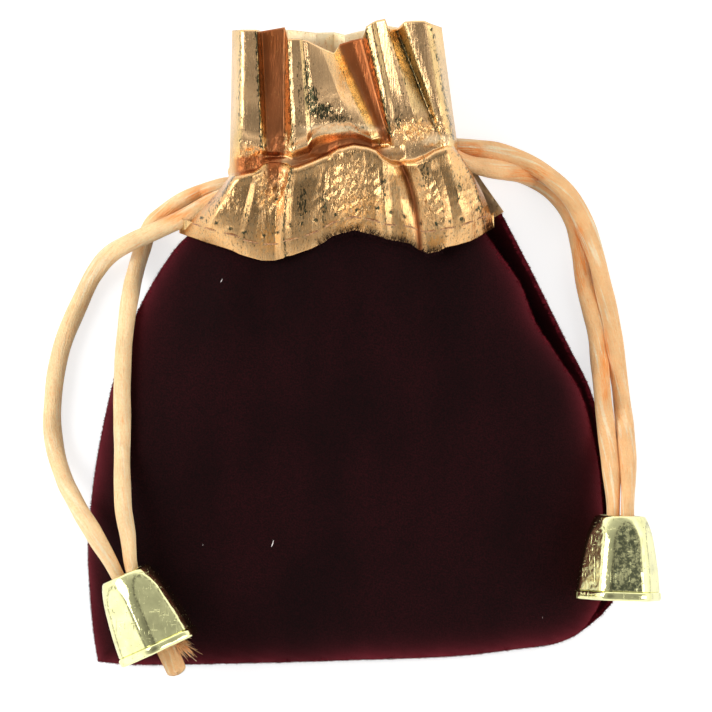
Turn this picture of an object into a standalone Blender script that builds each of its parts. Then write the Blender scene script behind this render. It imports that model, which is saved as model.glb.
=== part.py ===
# Drawstring pouch lying on its back: velvet body, gathered foil-cloth collar,
# two cord loops and two bell-shaped cord ends.
#
# Frame: +Z up from the table, +Y from the bottom of the pouch to its mouth,
# +X to the right as seen from above. Lengths below are in millimetres and
# become metres when a mesh is made.

import bpy
import numpy as np
from math import cos, floor, hypot, pi, radians, sin, sqrt
from mathutils import Matrix, Vector

MM = 0.001

# Cloth and cord sizes
PANEL_WALL = 1.0
SKIN = 0.35
CORD_DIAMETER = 2.4
PASSAGE = 4.4
FIT = 0.3
SEAM_GAP = 0.3

# Heights of the body above the table, and the stretches of y over which they change
SEAM_HEIGHT = 2.7
SEAM_HEIGHT_AT_HEM = 6.2
SEAM_RISE = (-14.0, 13.0)
BELLY_DROP_BOTTOM = 5.4
BELLY_RISE = (-50.0, 12.0)
BACK_LIFT = (0.0, 12.0)
FRONT_ROUND = 16.0
BACK_ROUND = 8.0
HEM_OVERLAP = 2.4
SIDE_TUCK = 1.1

# Pleats: how far a ridge stands off the cloth, at hem, casing, neck and mouth
FRONT_PLEATS = (1.5, 1.4, 1.4, 2.3)
BACK_PLEATS = (1.2, 1.2, 1.2, 2.2)
FRONT_SIDE_DROP = (0.0, 3.0, 3.0, 1.2)
BACK_SIDE_RISE = (0.0, 1.7, 1.7, 0.8)
INNER_INSET = (7.9, 7.9, 7.9, 0.0)
MOUTH_FOLD = 0.4
TABLE_GAP = 0.2

# Where the collar's cloth changes, in stations: 0 hem, 1 casing, 2 neck, 3 mouth.
# It leaves the body at the hem, its lining widens above the neck, and its two
# layers come together towards the mouth. Its sides drop within the last few columns.
LEAVES_BODY = (0.0, 0.6)
LINING_WIDENS = (2.0, 2.6)
LAYERS_MEET = (2.2, 3.0)
SIDE_POWER = 6
LINING_REACH = 1.5
LINING_CLEAR = 0.5

# Bells: sizes at the mouth, how much the sides lean in, and where the dome starts
BELL_HEIGHT = 11.8
BELL_ACROSS_FLATS = 11.0
BELL_ACROSS_ROUND = 12.0
BELL_FLAT_LEAN = 1.75
BELL_FLAT_POWER = 1.6
BELL_TAPER = 0.33
BELL_TAPER_POWER = 1.5
BELL_DOME_START = 0.7
BELL_HOLE_LIP = 0.5
BELL_ROOF = 0.86
BELL_RIM_ACROSS = 11.4
BELL_RIM_RADIUS = 6.2
BELL_RIM_HEIGHT = 1.2
BELL_WALL = 0.8
BELL_SIDES = 6

# How the panels' grids crowd towards the seams, and where a panel counts as flat
EDGE_POINTS = 60
CROWDING_UP = 0.3
CROWDING_ACROSS = 0.6
PROBE = 0.02
FLAT_FROM = 3.0

# The cords lie free beyond this distance from the middle and between these values of y
FREE_FROM_MIDDLE = 20.0
FREE_BELOW = 21.5
FREE_ABOVE = -30.0
CORD_SAMPLES = 420
CORD_POINTS = 78
CORD_SMOOTHING = 5
BEND_WEIGHT = 6.0

# How finely the cloth is divided: columns and rows, or columns and stations
FRONT_GRID = (26, 22)
BACK_GRID = (22, 18)
FRONT_COLLAR = (40, (0, 0.25, 0.5, 0.75, 1, 1.5, 2, 2.2, 2.4, 2.6, 2.8, 3))
BACK_COLLAR = (26, (0, 0.33, 0.67, 1, 1.5, 2, 2.25, 2.5, 2.75, 3))

# The neck stack, from the table up, worked out from the sizes above
BACK_OUTER = TABLE_GAP + BACK_PLEATS[1] + SKIN
BACK_LANE = BACK_OUTER + FIT + CORD_DIAMETER / 2
BACK_INNER = BACK_OUTER + CORD_DIAMETER + 2 * FIT
FRONT_INNER = BACK_INNER + SKIN + PASSAGE
FRONT_LANE = FRONT_INNER + SKIN + FIT + CORD_DIAMETER / 2
FRONT_OUTER = FRONT_INNER + SKIN + CORD_DIAMETER + 2 * FIT
BELLY_HEIGHT = FRONT_INNER + SKIN + FIT + PANEL_WALL
BACK_RAISE = BACK_OUTER + FIT

# Outline of the body, as points on its side and bottom seams
LEFT_SIDE = [(-35.2, -44.2), (-36.4, -40.0), (-37.0, -34.4), (-37.2, -28.0), (-36.5, -19.5),
             (-35.3, -12.0), (-33.3, -3.2), (-30.5, 4.9), (-27.0, 11.5), (-24.4, 15.2)]
BOTTOM = [(-35.2, -44.2), (-31.2, -44.9), (-14.4, -44.8), (-0.4, -44.4), (14.6, -43.8),
          (23.4, -42.8), (28.6, -42.0), (32.0, -40.4), (35.0, -38.0)]
RIGHT_SIDE = [(35.0, -38.0), (36.8, -35.6), (37.2, -30.0), (36.8, -23.2), (35.6, -14.8),
              (33.2, -6.2), (30.4, -0.6), (27.6, 5.0), (24.8, 10.6), (22.2, 15.0)]
RIGHT_FRONT = [(34.2, -37.4), (35.3, -34.6), (35.5, -30.0), (35.1, -23.2), (34.2, -14.8),
               (32.0, -6.2), (28.3, -0.1), (25.5, 4.4), (23.4, 9.8), (20.2, 14.6)]

# Pleat lines of the collar: place at hem, casing, neck and mouth, with the
# height of the cloth there as a share of the pleat height (0 valley, 1 ridge)
FRONT_LINES = [
    ((-24.5, 15.7), 0.0, -18.5, 0.0, -17.4, 0.0, (-16.8, 43.3), 0.0),
    ((-21.4, 14.3), 0.8, -17.4, 0.7, -15.4, 0.2, (-15.4, 43.4), 0.85),
    ((-17.8, 13.2), 0.95, -15.3, 0.8, -13.9, 0.3, (-14.1, 43.5), 0.95),
    ((-14.3, 12.2), 0.75, -13.3, 0.6, -12.3, 0.2, (-12.7, 43.1), 0.8),
    ((-12.2, 11.6), 0.15, -11.9, 0.1, -11.1, 0.0, (-11.6, 42.0), 0.05),
    ((-10.1, 11.8), 0.2, -9.8, 0.2, -9.1, 0.0, (-9.7, 41.9), 0.1),
    ((-9.1, 12.2), 0.7, -8.7, 0.6, -7.7, 0.1, (-9.0, 42.1), 0.95),
    ((-6.7, 12.9), 0.9, -6.7, 0.8, -6.3, 0.0, (-7.0, 42.4), 1.0),
    ((-3.2, 14.4), 1.0, -3.2, 0.95, -2.5, 0.0, (-5.5, 42.3), 0.9),
    ((0.3, 15.7), 1.0, -0.1, 1.0, 0.7, 0.0, (-3.8, 42.0), 0.65),
    ((3.5, 14.8), 0.9, 2.7, 0.9, 2.4, 0.0, (-2.2, 41.6), 0.4),
    ((6.3, 14.3), 0.65, 4.5, 0.6, 3.5, 0.0, (-1.1, 41.9), 0.05),
    ((8.3, 14.0), 0.35, 5.7, 0.3, 3.9, 0.0, (0.0, 42.1), 0.25),
    ((9.1, 13.3), 0.05, 6.7, 0.05, 4.5, 0.0, (1.1, 42.4), 0.05),
    ((10.5, 12.6), 0.6, 7.8, 0.7, 5.4, 0.4, (2.2, 44.2), 0.9),
    ((12.2, 12.9), 0.8, 9.4, 0.9, 7.7, 0.6, (4.1, 45.1), 1.0),
    ((13.9, 13.9), 0.9, 11.1, 0.8, 9.6, 0.5, (5.3, 44.7), 0.7),
    ((15.5, 13.9), 0.85, 12.6, 0.9, 11.2, 0.6, (6.5, 43.5), 0.35),
    ((17.2, 14.4), 0.65, 13.6, 0.75, 12.3, 0.5, (7.8, 44.7), 0.85),
    ((18.5, 15.3), 0.4, 14.4, 0.5, 13.3, 0.4, (10.4, 44.8), 0.9),
    ((19.7, 16.3), 0.0, 15.2, 0.0, 14.2, 0.0, (12.3, 44.7), 0.0),
]
BACK_LINES = [
    ((-24.5, 15.7), 0.0, -18.5, 0.0, -17.4, 0.0, (-16.8, 43.3), 0.0),
    ((-20.3, 14.6), 0.85, -16.4, 0.8, -15.0, 0.4, (-14.4, 43.1), 0.9),
    ((-16.1, 13.7), 0.2, -13.6, 0.2, -12.5, 0.1, (-11.6, 43.4), 0.15),
    ((-12.7, 13.6), 0.9, -11.3, 0.9, -9.9, 0.3, (-9.1, 44.0), 0.9),
    ((-9.5, 13.6), 0.85, -8.8, 0.8, -7.7, 0.3, (-7.3, 44.1), 0.8),
    ((-6.7, 13.7), 0.15, -6.3, 0.15, -5.5, 0.0, (-5.3, 42.7), 0.1),
    ((-2.9, 14.0), 0.9, -2.9, 0.9, -2.7, 0.2, (-2.7, 43.3), 0.95),
    ((1.0, 14.1), 0.25, 0.3, 0.2, 0.4, 0.0, (-0.1, 42.8), 0.2),
    ((4.9, 14.1), 0.9, 3.8, 0.9, 3.2, 0.2, (2.4, 43.8), 0.9),
    ((8.3, 14.3), 0.8, 6.6, 0.85, 5.7, 0.3, (4.9, 44.1), 0.8),
    ((11.3, 14.6), 0.15, 8.8, 0.15, 8.0, 0.0, (6.9, 44.0), 0.1),
    ((14.7, 15.3), 0.9, 11.3, 0.9, 10.2, 0.4, (8.8, 44.4), 0.9),
    ((18.1, 16.5), 0.7, 13.4, 0.7, 12.3, 0.3, (10.8, 44.5), 0.75),
    ((21.6, 17.8), 0.0, 15.3, 0.0, 14.3, 0.0, (12.3, 44.7), 0.0),
]
# The casing and the neck run a little uphill from left to right
CASING_Y = (23.0, 25.8)
NECK_Y = (26.6, 28.7)

# Cord lanes inside the casing: the middle line, its slope and its centre
LANE_MIDDLE = (-1.7, 24.2)
LANE_SLOPE = 0.107
LANE_HALF_SPACING = (CORD_DIAMETER + 2 * FIT) / 2
LANE_NEAR_END = 9.8
BEND_CENTRE = 10.6

# The two strands inside a bell: spread compared with that at the hole, share of the height
STRANDS_IN_BELL = ((1.45, 0.18), (1.3, 0.5), (1.0, 0.97))
STRANDS_LEAVE = 1.6

# Cord routes outside the casing, (x, y, lowest height), from the casing out
LEFT_FRONT_ROUTE = [(-15.4, 20.9, 10.2), (-17.9, 20.6, 8.7), (-20.4, 19.7, 7.5), (-23.6, 18.2, 6.6),
                    (-27.0, 16.5, 5.2), (-30.5, 14.8, 4.2), (-33.7, 12.3, 1.8), (-36.1, 9.2, 0),
                    (-37.9, 5.7, 0), (-39.8, 2.0, 0), (-41.4, -2.6, 0), (-42.3, -9.9, 0),
                    (-42.0, -14.1, 0), (-40.6, -18.8, 2.5), (-38.6, -22.6, 6.0),
                    (-35.9, -27.0, 11.2)]
LEFT_BACK_ROUTE = [(-15.2, 21.7, 4.0), (-17.6, 22.2, 4.9), (-19.9, 22.1, 4.6), (-23.5, 21.0, 2.4),
                   (-26.6, 19.2, 0), (-28.7, 16.7, 0), (-30.0, 13.4, 0), (-31.0, 10.4, 0),
                   (-31.9, 6.2, 0), (-32.4, 0.6, 0), (-32.3, -5.0, 0), (-32.3, -12.0, 0),
                   (-32.3, -17.6, 8.4), (-32.1, -22.8, 9.8), (-31.4, -27.2, 11.1)]
RIGHT_FRONT_ROUTE = [(11.4, 27.0, 10.2), (13.4, 26.6, 9.1), (15.7, 25.6, 8.0), (19.9, 24.2, 5.8),
                     (23.4, 23.2, 3.2), (26.0, 21.8, 0), (28.1, 19.6, 0), (30.0, 16.8, 0),
                     (31.4, 13.2, 0), (32.4, 9.0, 0), (33.3, 5.5, 0), (34.2, 1.3, 0),
                     (34.9, -2.9, 0), (35.3, -7.8, 0), (35.7, -13.4, 3.0), (36.0, -18.6, 7.2)]
RIGHT_BACK_ROUTE = [(11.6, 27.3, 4.1), (13.6, 27.8, 5.1), (15.6, 28.0, 5.0), (20.6, 27.4, 3.0),
                    (25.1, 26.2, 0), (28.7, 23.8, 0), (31.5, 20.4, 0), (33.6, 16.0, 0),
                    (35.2, 11.5, 0), (36.2, 6.9, 0), (37.0, 2.0, 0), (37.7, -2.2, 0),
                    (38.2, -7.8, 0), (38.5, -13.4, 3.0), (38.8, -18.6, 7.2)]

# Bells: middle of the top and of the mouth seen from above, and roll
LEFT_BELL = ((-31.8, -32.2), (-26.9, -42.8), radians(-4))
RIGHT_BELL = ((37.4, -24.1), (37.0, -35.8), radians(-13))

MATERIALS = {
    "velvet": ((0.045, 0.004, 0.010), 0.95, 0.0),
    "foil_cloth": ((0.80, 0.56, 0.26), 0.32, 1.0),
    "satin_cord": ((0.90, 0.56, 0.30), 0.42, 0.0),
    "gold_plate": ((0.78, 0.70, 0.34), 0.16, 1.0),
}


def clear_scene():
    for item in list(bpy.data.objects):
        bpy.data.objects.remove(item, do_unlink=True)


def make_material(name):
    colour, roughness, metallic = MATERIALS[name]
    material = bpy.data.materials.new(name)
    material.use_nodes = True
    surface = material.node_tree.nodes["Principled BSDF"]
    surface.inputs["Base Color"].default_value = (*colour, 1.0)
    surface.inputs["Roughness"].default_value = roughness
    surface.inputs["Metallic"].default_value = metallic
    material.diffuse_color = (*colour, 1.0)
    return material


def mesh_object(name, vertices, faces, material):
    """One closed mesh from points in millimetres."""
    mesh = bpy.data.meshes.new(name)
    mesh.from_pydata([Vector(v) * MM for v in vertices], [], faces)
    mesh.update()
    mesh.shade_smooth()
    mesh.materials.append(material)
    item = bpy.data.objects.new(name, mesh)
    bpy.context.scene.collection.objects.link(item)
    return item


def smooth_step(a, b, x):
    t = min(max((x - a) / (b - a), 0.0), 1.0)
    return t * t * (3 - 2 * t)


def curve_points(points, count):
    """Evenly spaced points on a centripetal Catmull-Rom curve through the given ones."""
    p = [np.array(q, float) for q in points]
    p = [2 * p[0] - p[1]] + p + [2 * p[-1] - p[-2]]
    fine = []
    for i in range(1, len(p) - 2):
        knots = [0.0]
        for j in range(3):
            step = np.linalg.norm(p[i + j] - p[i + j - 1])
            knots.append(knots[-1] + max(step, 1e-6) ** 0.5)
        for k in range(24):
            t = knots[1] + (knots[2] - knots[1]) * k / 24
            fine.append(catmull(p[i - 1:i + 3], knots, t))
    fine.append(p[-2])
    fine = np.array(fine)
    length = np.concatenate([[0], np.cumsum(np.linalg.norm(np.diff(fine, axis=0), axis=1))])
    at = np.linspace(0, length[-1], count)
    return np.stack([np.interp(at, length, fine[:, c]) for c in range(fine.shape[1])], axis=1)


def catmull(p, k, t):
    a1 = ((k[1] - t) * p[0] + (t - k[0]) * p[1]) / (k[1] - k[0])
    a2 = ((k[2] - t) * p[1] + (t - k[1]) * p[2]) / (k[2] - k[1])
    a3 = ((k[3] - t) * p[2] + (t - k[2]) * p[3]) / (k[3] - k[2])
    b1 = ((k[2] - t) * a1 + (t - k[0]) * a2) / (k[2] - k[0])
    b2 = ((k[3] - t) * a2 + (t - k[1]) * a3) / (k[3] - k[1])
    return ((k[2] - t) * b1 + (t - k[1]) * b2) / (k[2] - k[1])


def hem_height(x):
    """How far up the body the front collar's lower edge lies at x."""
    xs = [line[0][0] for line in FRONT_LINES]
    ys = [line[0][1] for line in FRONT_LINES]
    return float(np.interp(x, xs, ys))


class Outline:
    """Side and bottom seams of one panel, with the depth of a point inside them."""

    def __init__(self, right_side):
        self.left = curve_points(LEFT_SIDE + [self.top_corner(0)], 60)
        self.bottom = curve_points(BOTTOM[:-1] + [right_side[0]], 50)
        self.right = curve_points(right_side + [self.top_corner(-1)], 60)
        casing_left = (FRONT_LINES[0][2] + SIDE_TUCK, CASING_Y[0])
        casing_right = (FRONT_LINES[-1][2] - SIDE_TUCK, CASING_Y[1])
        loop = [casing_left, *self.left[::-1], *self.bottom[1:], *self.right[1:], casing_right]
        self.loop = np.array(loop)

    def top_corner(self, side):
        """Where a side seam ends, tucked under the collar."""
        (hem_x, hem_y), _, casing_x = FRONT_LINES[side][:3]
        share = HEM_OVERLAP / (CASING_Y[side] - hem_y)
        tuck = SIDE_TUCK if side == 0 else -SIDE_TUCK
        return (hem_x + (casing_x - hem_x) * share + tuck, hem_y + HEM_OVERLAP)

    def depth(self, x, y):
        """Signed distance inside the seams and the direction that leads inward."""
        a = self.loop[:-1]
        ab = self.loop[1:] - a
        ap = np.array([x, y]) - a
        t = np.clip((ap * ab).sum(1) / (ab * ab).sum(1), 0, 1)
        away = ap - ab * t[:, None]
        size = np.hypot(away[:, 0], away[:, 1])
        i = int(size.argmin())
        inward = np.array([-ab[i, 1], ab[i, 0]]) / hypot(*ab[i])
        sign = 1.0 if away[i] @ inward >= 0 else -1.0
        if size[i] > 0.05:
            inward = away[i] / size[i] * sign
        return size[i] * sign, inward


def cushion(share):
    """Height of a rounded edge, from 0 at the seam to 1 where it has levelled out."""
    share = min(max(share, 0.0), 1.0)
    return sqrt(1 - (1 - share) ** 2)


def seam_height(y):
    return SEAM_HEIGHT + (SEAM_HEIGHT_AT_HEM - SEAM_HEIGHT) * smooth_step(*SEAM_RISE, y)


def belly(y):
    """Top of the front panel on its middle line."""
    return BELLY_HEIGHT - BELLY_DROP_BOTTOM * (1 - smooth_step(*BELLY_RISE, y))


def front_surface(outline, x, y, grow=0.0):
    """Height of the front panel's outer face, or of that face grown by a clearance."""
    depth, _ = outline.depth(x, y)
    low = seam_height(y) + SEAM_GAP / 2
    return low + (belly(y) - low) * cushion((depth + grow) / FRONT_ROUND) + grow


def back_surface(outline, x, y, grow=0.0):
    depth, _ = outline.depth(x, y)
    low = BACK_RAISE * smooth_step(*BACK_LIFT, y)
    high = seam_height(y) - SEAM_GAP / 2
    return high - (high - low) * cushion((depth + grow) / BACK_ROUND) - grow


def panel_grid(outline, columns, rows):
    """Points over a panel: a patch between its four edges, closer near the seams."""
    top = []
    for k in range(EDGE_POINTS + 1):
        share = k / EDGE_POINTS
        x = outline.left[-1][0] * (1 - share) + outline.right[-1][0] * share
        top.append((x, hem_height(x) + HEM_OVERLAP))
    top = np.array(top)
    left, right, bottom = outline.left, outline.right, outline.bottom

    def along(edge, share):
        at = share * (len(edge) - 1)
        index = np.arange(len(edge))
        return np.array([np.interp(at, index, edge[:, 0]), np.interp(at, index, edge[:, 1])])

    grid = []
    for j in range(rows + 1):
        t = 1 - cos(pi / 2 * j / rows)
        t = CROWDING_UP * t + (1 - CROWDING_UP) * j / rows
        row = []
        for i in range(columns + 1):
            s = CROWDING_ACROSS * (1 - cos(pi * i / columns)) / 2
            s = s + (1 - CROWDING_ACROSS) * i / columns
            sides = (1 - s) * along(left, t) + s * along(right, t)
            ends = (1 - t) * along(bottom, s) + t * along(top, s)
            corners = (1 - t) * ((1 - s) * left[0] + s * right[0])
            corners = corners + t * ((1 - s) * left[-1] + s * right[-1])
            row.append(sides + ends - corners)
        grid.append(row)
    return grid


def panel(name, outline, surface, outward, material, columns, rows):
    """A panel of cloth: its outer face, and an inner face one wall inside it."""
    outer, inner = [], []
    for row in panel_grid(outline, columns, rows):
        for x, y in row:
            z = surface(outline, x, y)
            depth, inward = outline.depth(x, y)
            slope = (surface(outline, x, y + PROBE) - z) / PROBE
            if depth > FLAT_FROM:
                sideways = (surface(outline, x + PROBE, y) - z) / PROBE
                normal = np.array([-sideways, -slope, 1.0]) * outward
            elif depth > PROBE:
                rise = (surface(outline, x + inward[0] * PROBE, y + inward[1] * PROBE) - z) / PROBE
                normal = np.array([-rise * inward[0], -rise * inward[1], 1.0]) * outward
            else:
                normal = np.array([-inward[0], -inward[1], 0.0])
            normal = normal / np.linalg.norm(normal)
            outer.append((x, y, z))
            inner.append(tuple(np.array([x, y, z]) - normal * PANEL_WALL))
    return shell_between(name, outer, inner, columns, rows, outward > 0, material)


def split(quad, swap):
    """Two triangles, so that both faces of a cloth bend along the same diagonal."""
    a, b, c, d = quad
    if swap:
        return [(a, b, d), (b, c, d)]
    return [(a, b, c), (a, c, d)]


def shell_between(name, first, second, columns, rows, upward, material):
    """Close the space between two grids of the same size."""
    width = columns + 1
    count = len(first)
    faces = []
    for j in range(rows):
        for i in range(columns):
            a = j * width + i
            quad = (a, a + 1, a + 1 + width, a + width)
            faces += split(quad, swap=False)
            faces += [tuple(v + count for v in reversed(face)) for face in split(quad, swap=False)]
    rim = list(range(width))
    rim += [j * width + columns for j in range(1, rows + 1)]
    rim += [rows * width + i for i in range(columns - 1, -1, -1)]
    rim += [j * width for j in range(rows - 1, 0, -1)]
    for a, b in zip(rim, rim[1:] + rim[:1]):
        faces.append((b, a, a + count, b + count))
    if not upward:
        faces = [tuple(reversed(face)) for face in faces]
    return mesh_object(name, first + second, faces, material)


def pleat_point(lines, column, station):
    """x, y and pleat share of the collar cloth; station 0 hem, 1 casing, 2 neck, 3 mouth."""
    at = column * (len(lines) - 1)
    low = min(int(floor(at)), len(lines) - 2)
    mix = at - low
    rows = []
    for k in (low, low + 1):
        (hx, hy), hl, cx, cl, nx, nl, (tx, ty), tl = lines[k]
        share = k / (len(lines) - 1)
        casing_y = CASING_Y[0] + (CASING_Y[1] - CASING_Y[0]) * share
        neck_y = NECK_Y[0] + (NECK_Y[1] - NECK_Y[0]) * share
        rows.append(np.array([(hx, hy, hl), (cx, casing_y, cl), (nx, neck_y, nl), (tx, ty, tl)]))
    points = rows[0] * (1 - mix) + rows[1] * mix
    ends = [2 * points[0] - points[1], *points, 2 * points[3] - points[2]]
    segment = min(int(floor(station)), 2)
    four = [np.array(p) for p in ends[segment:segment + 4]]
    knots = [0.0]
    for j in range(3):
        knots.append(knots[-1] + np.linalg.norm(four[j + 1][:2] - four[j][:2]) ** 0.5)
    t = knots[1] + (knots[2] - knots[1]) * (station - segment)
    x, y, share = catmull(four, knots, t)
    return x, y, min(max(share, 0.0), 1.0)


def by_station(values, station):
    return float(np.interp(station, range(4), values))


def collar_rows(lines, columns, stations, outline, front):
    """Grids of the collar's outer and inner layer, each with an outer and an inner face."""
    pleats = FRONT_PLEATS if front else BACK_PLEATS
    side = 1.0 if front else -1.0
    drops = FRONT_SIDE_DROP if front else BACK_SIDE_RISE
    surface = front_surface if front else back_surface
    outer_near, inner_near, inner_far = [], [], []
    for station in stations:
        left = pleat_point(lines, 0, station)[0]
        right = pleat_point(lines, 1, station)[0]
        middle, half = (left + right) / 2, (right - left) / 2
        closing = smooth_step(*LAYERS_MEET, station)
        widening = smooth_step(*LINING_WIDENS, station)
        for i in range(columns + 1):
            x, y, share = pleat_point(lines, i / columns, station)
            off = abs((x - middle) / half) ** SIDE_POWER
            if front:
                tunnel = FRONT_OUTER * (1 - closing)
                tunnel = tunnel + closing * (FRONT_INNER + SKIN + MOUTH_FOLD)
                layer = FRONT_INNER
            else:
                tunnel = BACK_OUTER * (1 - closing)
                tunnel = tunnel + closing * (BACK_INNER - MOUTH_FOLD)
                layer = BACK_INNER + SKIN
            z = tunnel - side * by_station(drops, station) * off
            if station < 1:
                cloth = surface(outline, x, y, FIT)
                blend = smooth_step(*LEAVES_BODY, station)
                z = cloth * (1 - blend) + side * max(side * cloth, side * z) * blend
            z = z + side * share * by_station(pleats, station)
            outer_near.append(np.array([x, y, z]))
            inset = by_station(INNER_INSET, min(2 * station, 2.0))
            inset = inset + (INNER_INSET[3] - inset) * widening
            inner_x = middle + (x - middle) * (1 - inset / half)
            flat = layer + side * SKIN
            if y < hem_height(x) + HEM_OVERLAP + LINING_REACH:
                limit = surface(outline, inner_x, y) - side * (PANEL_WALL + FIT + LINING_CLEAR)
                flat = side * min(side * flat, side * limit)
            folded = z - side * MOUTH_FOLD
            height = flat * (1 - closing) + folded * closing
            inner_near.append(np.array([inner_x, y, height]))
            inner_far.append(np.array([inner_x, y, height - side * SKIN]))
    width = columns + 1
    outer_far = [point + np.array([0, 0, side * SKIN]) for point in outer_near]
    for grid, reach in ((outer_far, SKIN), (inner_far, SKIN)):
        for point in grid[-width:]:
            point[1] += reach
    return outer_far, outer_near, inner_near, inner_far


def collar(name, lines, columns, stations, outline, front, material):
    """A folded band of cloth: outer layer, fold at the mouth, inner layer, open at the sides."""
    grids = collar_rows(lines, columns, stations, outline, front)
    width = columns + 1
    rows = len(stations)
    loop = [(0, j) for j in range(rows)]
    loop += [(3, j) for j in range(rows - 1, -1, -1)]
    loop += [(2, j) for j in range(rows)]
    loop += [(1, j) for j in range(rows - 1, -1, -1)]
    vertices = [tuple(p) for grid in grids for p in grid]
    size = rows * width

    def index(cell, i):
        grid, j = cell
        return grid * size + j * width + i

    faces = []
    for a, b in zip(loop, loop[1:] + loop[:1]):
        for i in range(columns):
            quad = (index(a, i), index(a, i + 1), index(b, i + 1), index(b, i))
            faces += split(quad, swap=a[1] > b[1])
    for i, flip in ((0, False), (columns, True)):
        for first, second in ((0, 1), (2, 3)):
            for j in range(rows - 1):
                quad = [index((first, j), i), index((first, j + 1), i),
                        index((second, j + 1), i), index((second, j), i)]
                faces.append(tuple(reversed(quad)) if flip else tuple(quad))
        quad = [index((0, rows - 1), i), index((3, rows - 1), i),
                index((2, rows - 1), i), index((1, rows - 1), i)]
        faces.append(tuple(reversed(quad)) if flip else tuple(quad))
    if not front:
        faces = [tuple(reversed(face)) for face in faces]
    return mesh_object(name, vertices, faces, material)


def rest_height(outlines, x, y, radius):
    """Height of the centre of a ball of this radius that rests on the body or the table."""
    front, back = outlines
    best = radius
    for ring in range(4):
        reach = radius * ring / 3 * 0.999
        for k in range(max(1, ring * 8)):
            angle = 2 * pi * k / max(1, ring * 8)
            px, py = x + reach * cos(angle), y + reach * sin(angle)
            lift = sqrt(radius * radius - reach * reach)
            if py < hem_height(px) and front.depth(px, py)[0] > -0.05:
                best = max(best, front_surface(front, px, py) + lift)
            elif py < hem_height(px) and back.depth(px, py)[0] > -0.05:
                best = max(best, seam_height(py) + lift)
    return best


def bell_frame(outlines, top, mouth, roll):
    """Rotation and place of a bell that lies on the body: local z runs from mouth to top."""
    top, mouth = Vector(top), Vector(mouth)
    rests = []
    for share in (0.0, 0.1, 0.3, 0.5, 0.7, 0.9):
        at = mouth.lerp(top, share)
        size = BELL_RIM_RADIUS if share < 0.2 else bell_profile(share)
        rests.append((share, rest_height(outlines, at.x, at.y, size + FIT)))
    slope = max(0.0, (rests[4][1] - rests[1][1]) / (rests[4][0] - rests[1][0]))
    base = max(height - slope * share for share, height in rests)
    low = Vector((mouth.x, mouth.y, base))
    high = Vector((top.x, top.y, base + slope))
    axis = (high - low).normalized()
    side = Vector((0, 0, 1)).cross(axis).normalized()
    up = axis.cross(side)
    turn = Matrix((side, up, axis)).transposed().to_4x4()
    return Matrix.Translation(low) @ turn @ Matrix.Rotation(roll, 4, "Z")


def bell_hole():
    """Radius of the hole on top, which lets both strands of the cord through."""
    return CORD_DIAMETER + 1.5 * FIT


def bell_profile(share):
    """Radius of the round bell under its flats, from the mouth (0) to the top (1)."""
    side = BELL_ACROSS_ROUND / 2 * (1 - BELL_TAPER * share ** BELL_TAPER_POWER)
    top = bell_hole() + BELL_HOLE_LIP
    dome = max(0.0, (share - BELL_DOME_START) / (1 - BELL_DOME_START))
    return top + (side - top) * sqrt(1 - dome * dome)


def bell_flat(share):
    """Distance of a flat from the bell's axis."""
    return BELL_ACROSS_FLATS / 2 - BELL_FLAT_LEAN * share ** BELL_FLAT_POWER


def bell(name, frame, material):
    """A six-sided bell: a dome cut by six flats, a rim band, open below and pierced on top."""
    around = 4 * BELL_SIDES
    rim = BELL_RIM_HEIGHT / BELL_HEIGHT
    levels = [(0.0, "rim"), (rim, "rim"), (rim + 0.01, "side")]
    levels += [(rim + 0.01 + (0.99 - rim) * k / 8, "side") for k in range(1, 9)]
    rings = []
    for share, kind in levels:
        ring = []
        for k in range(around):
            angle = 2 * pi * k / around
            fold = (angle + pi / BELL_SIDES) % (2 * pi / BELL_SIDES) - pi / BELL_SIDES
            if kind == "rim":
                radius = min(BELL_RIM_ACROSS / 2 / cos(fold), BELL_RIM_RADIUS)
            else:
                radius = min(bell_flat(share) / cos(fold), bell_profile(share))
            ring.append((radius * cos(angle), radius * sin(angle), share * BELL_HEIGHT))
        rings.append(ring)
    inside = [(bell_hole(), 1.0)]
    for k in range(4):
        share = BELL_ROOF * (1 - k / 3)
        room = min(bell_flat(share), bell_profile(share)) - BELL_WALL
        inside.append((max(bell_hole(), room), share))
    for radius, share in inside:
        ring = []
        for k in range(around):
            angle = 2 * pi * k / around
            ring.append((radius * cos(angle), radius * sin(angle), share * BELL_HEIGHT))
        rings.append(ring)
    vertices = [tuple(frame @ Vector(v)) for ring in rings for v in ring]
    faces = []
    for r in range(len(rings)):
        following = (r + 1) % len(rings)
        for k in range(around):
            n = (k + 1) % around
            faces.append((r * around + k, r * around + n, following * around + n,
                          following * around + k))
    item = mesh_object(name, vertices, faces, material)
    item.data.set_sharp_from_angle(angle=radians(28))
    return item


def lane(x, upper):
    """Place of a cord lane inside the casing."""
    spacing = LANE_HALF_SPACING if upper else -LANE_HALF_SPACING
    return LANE_MIDDLE[1] + LANE_SLOPE * (x - LANE_MIDDLE[0]) + spacing


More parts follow.
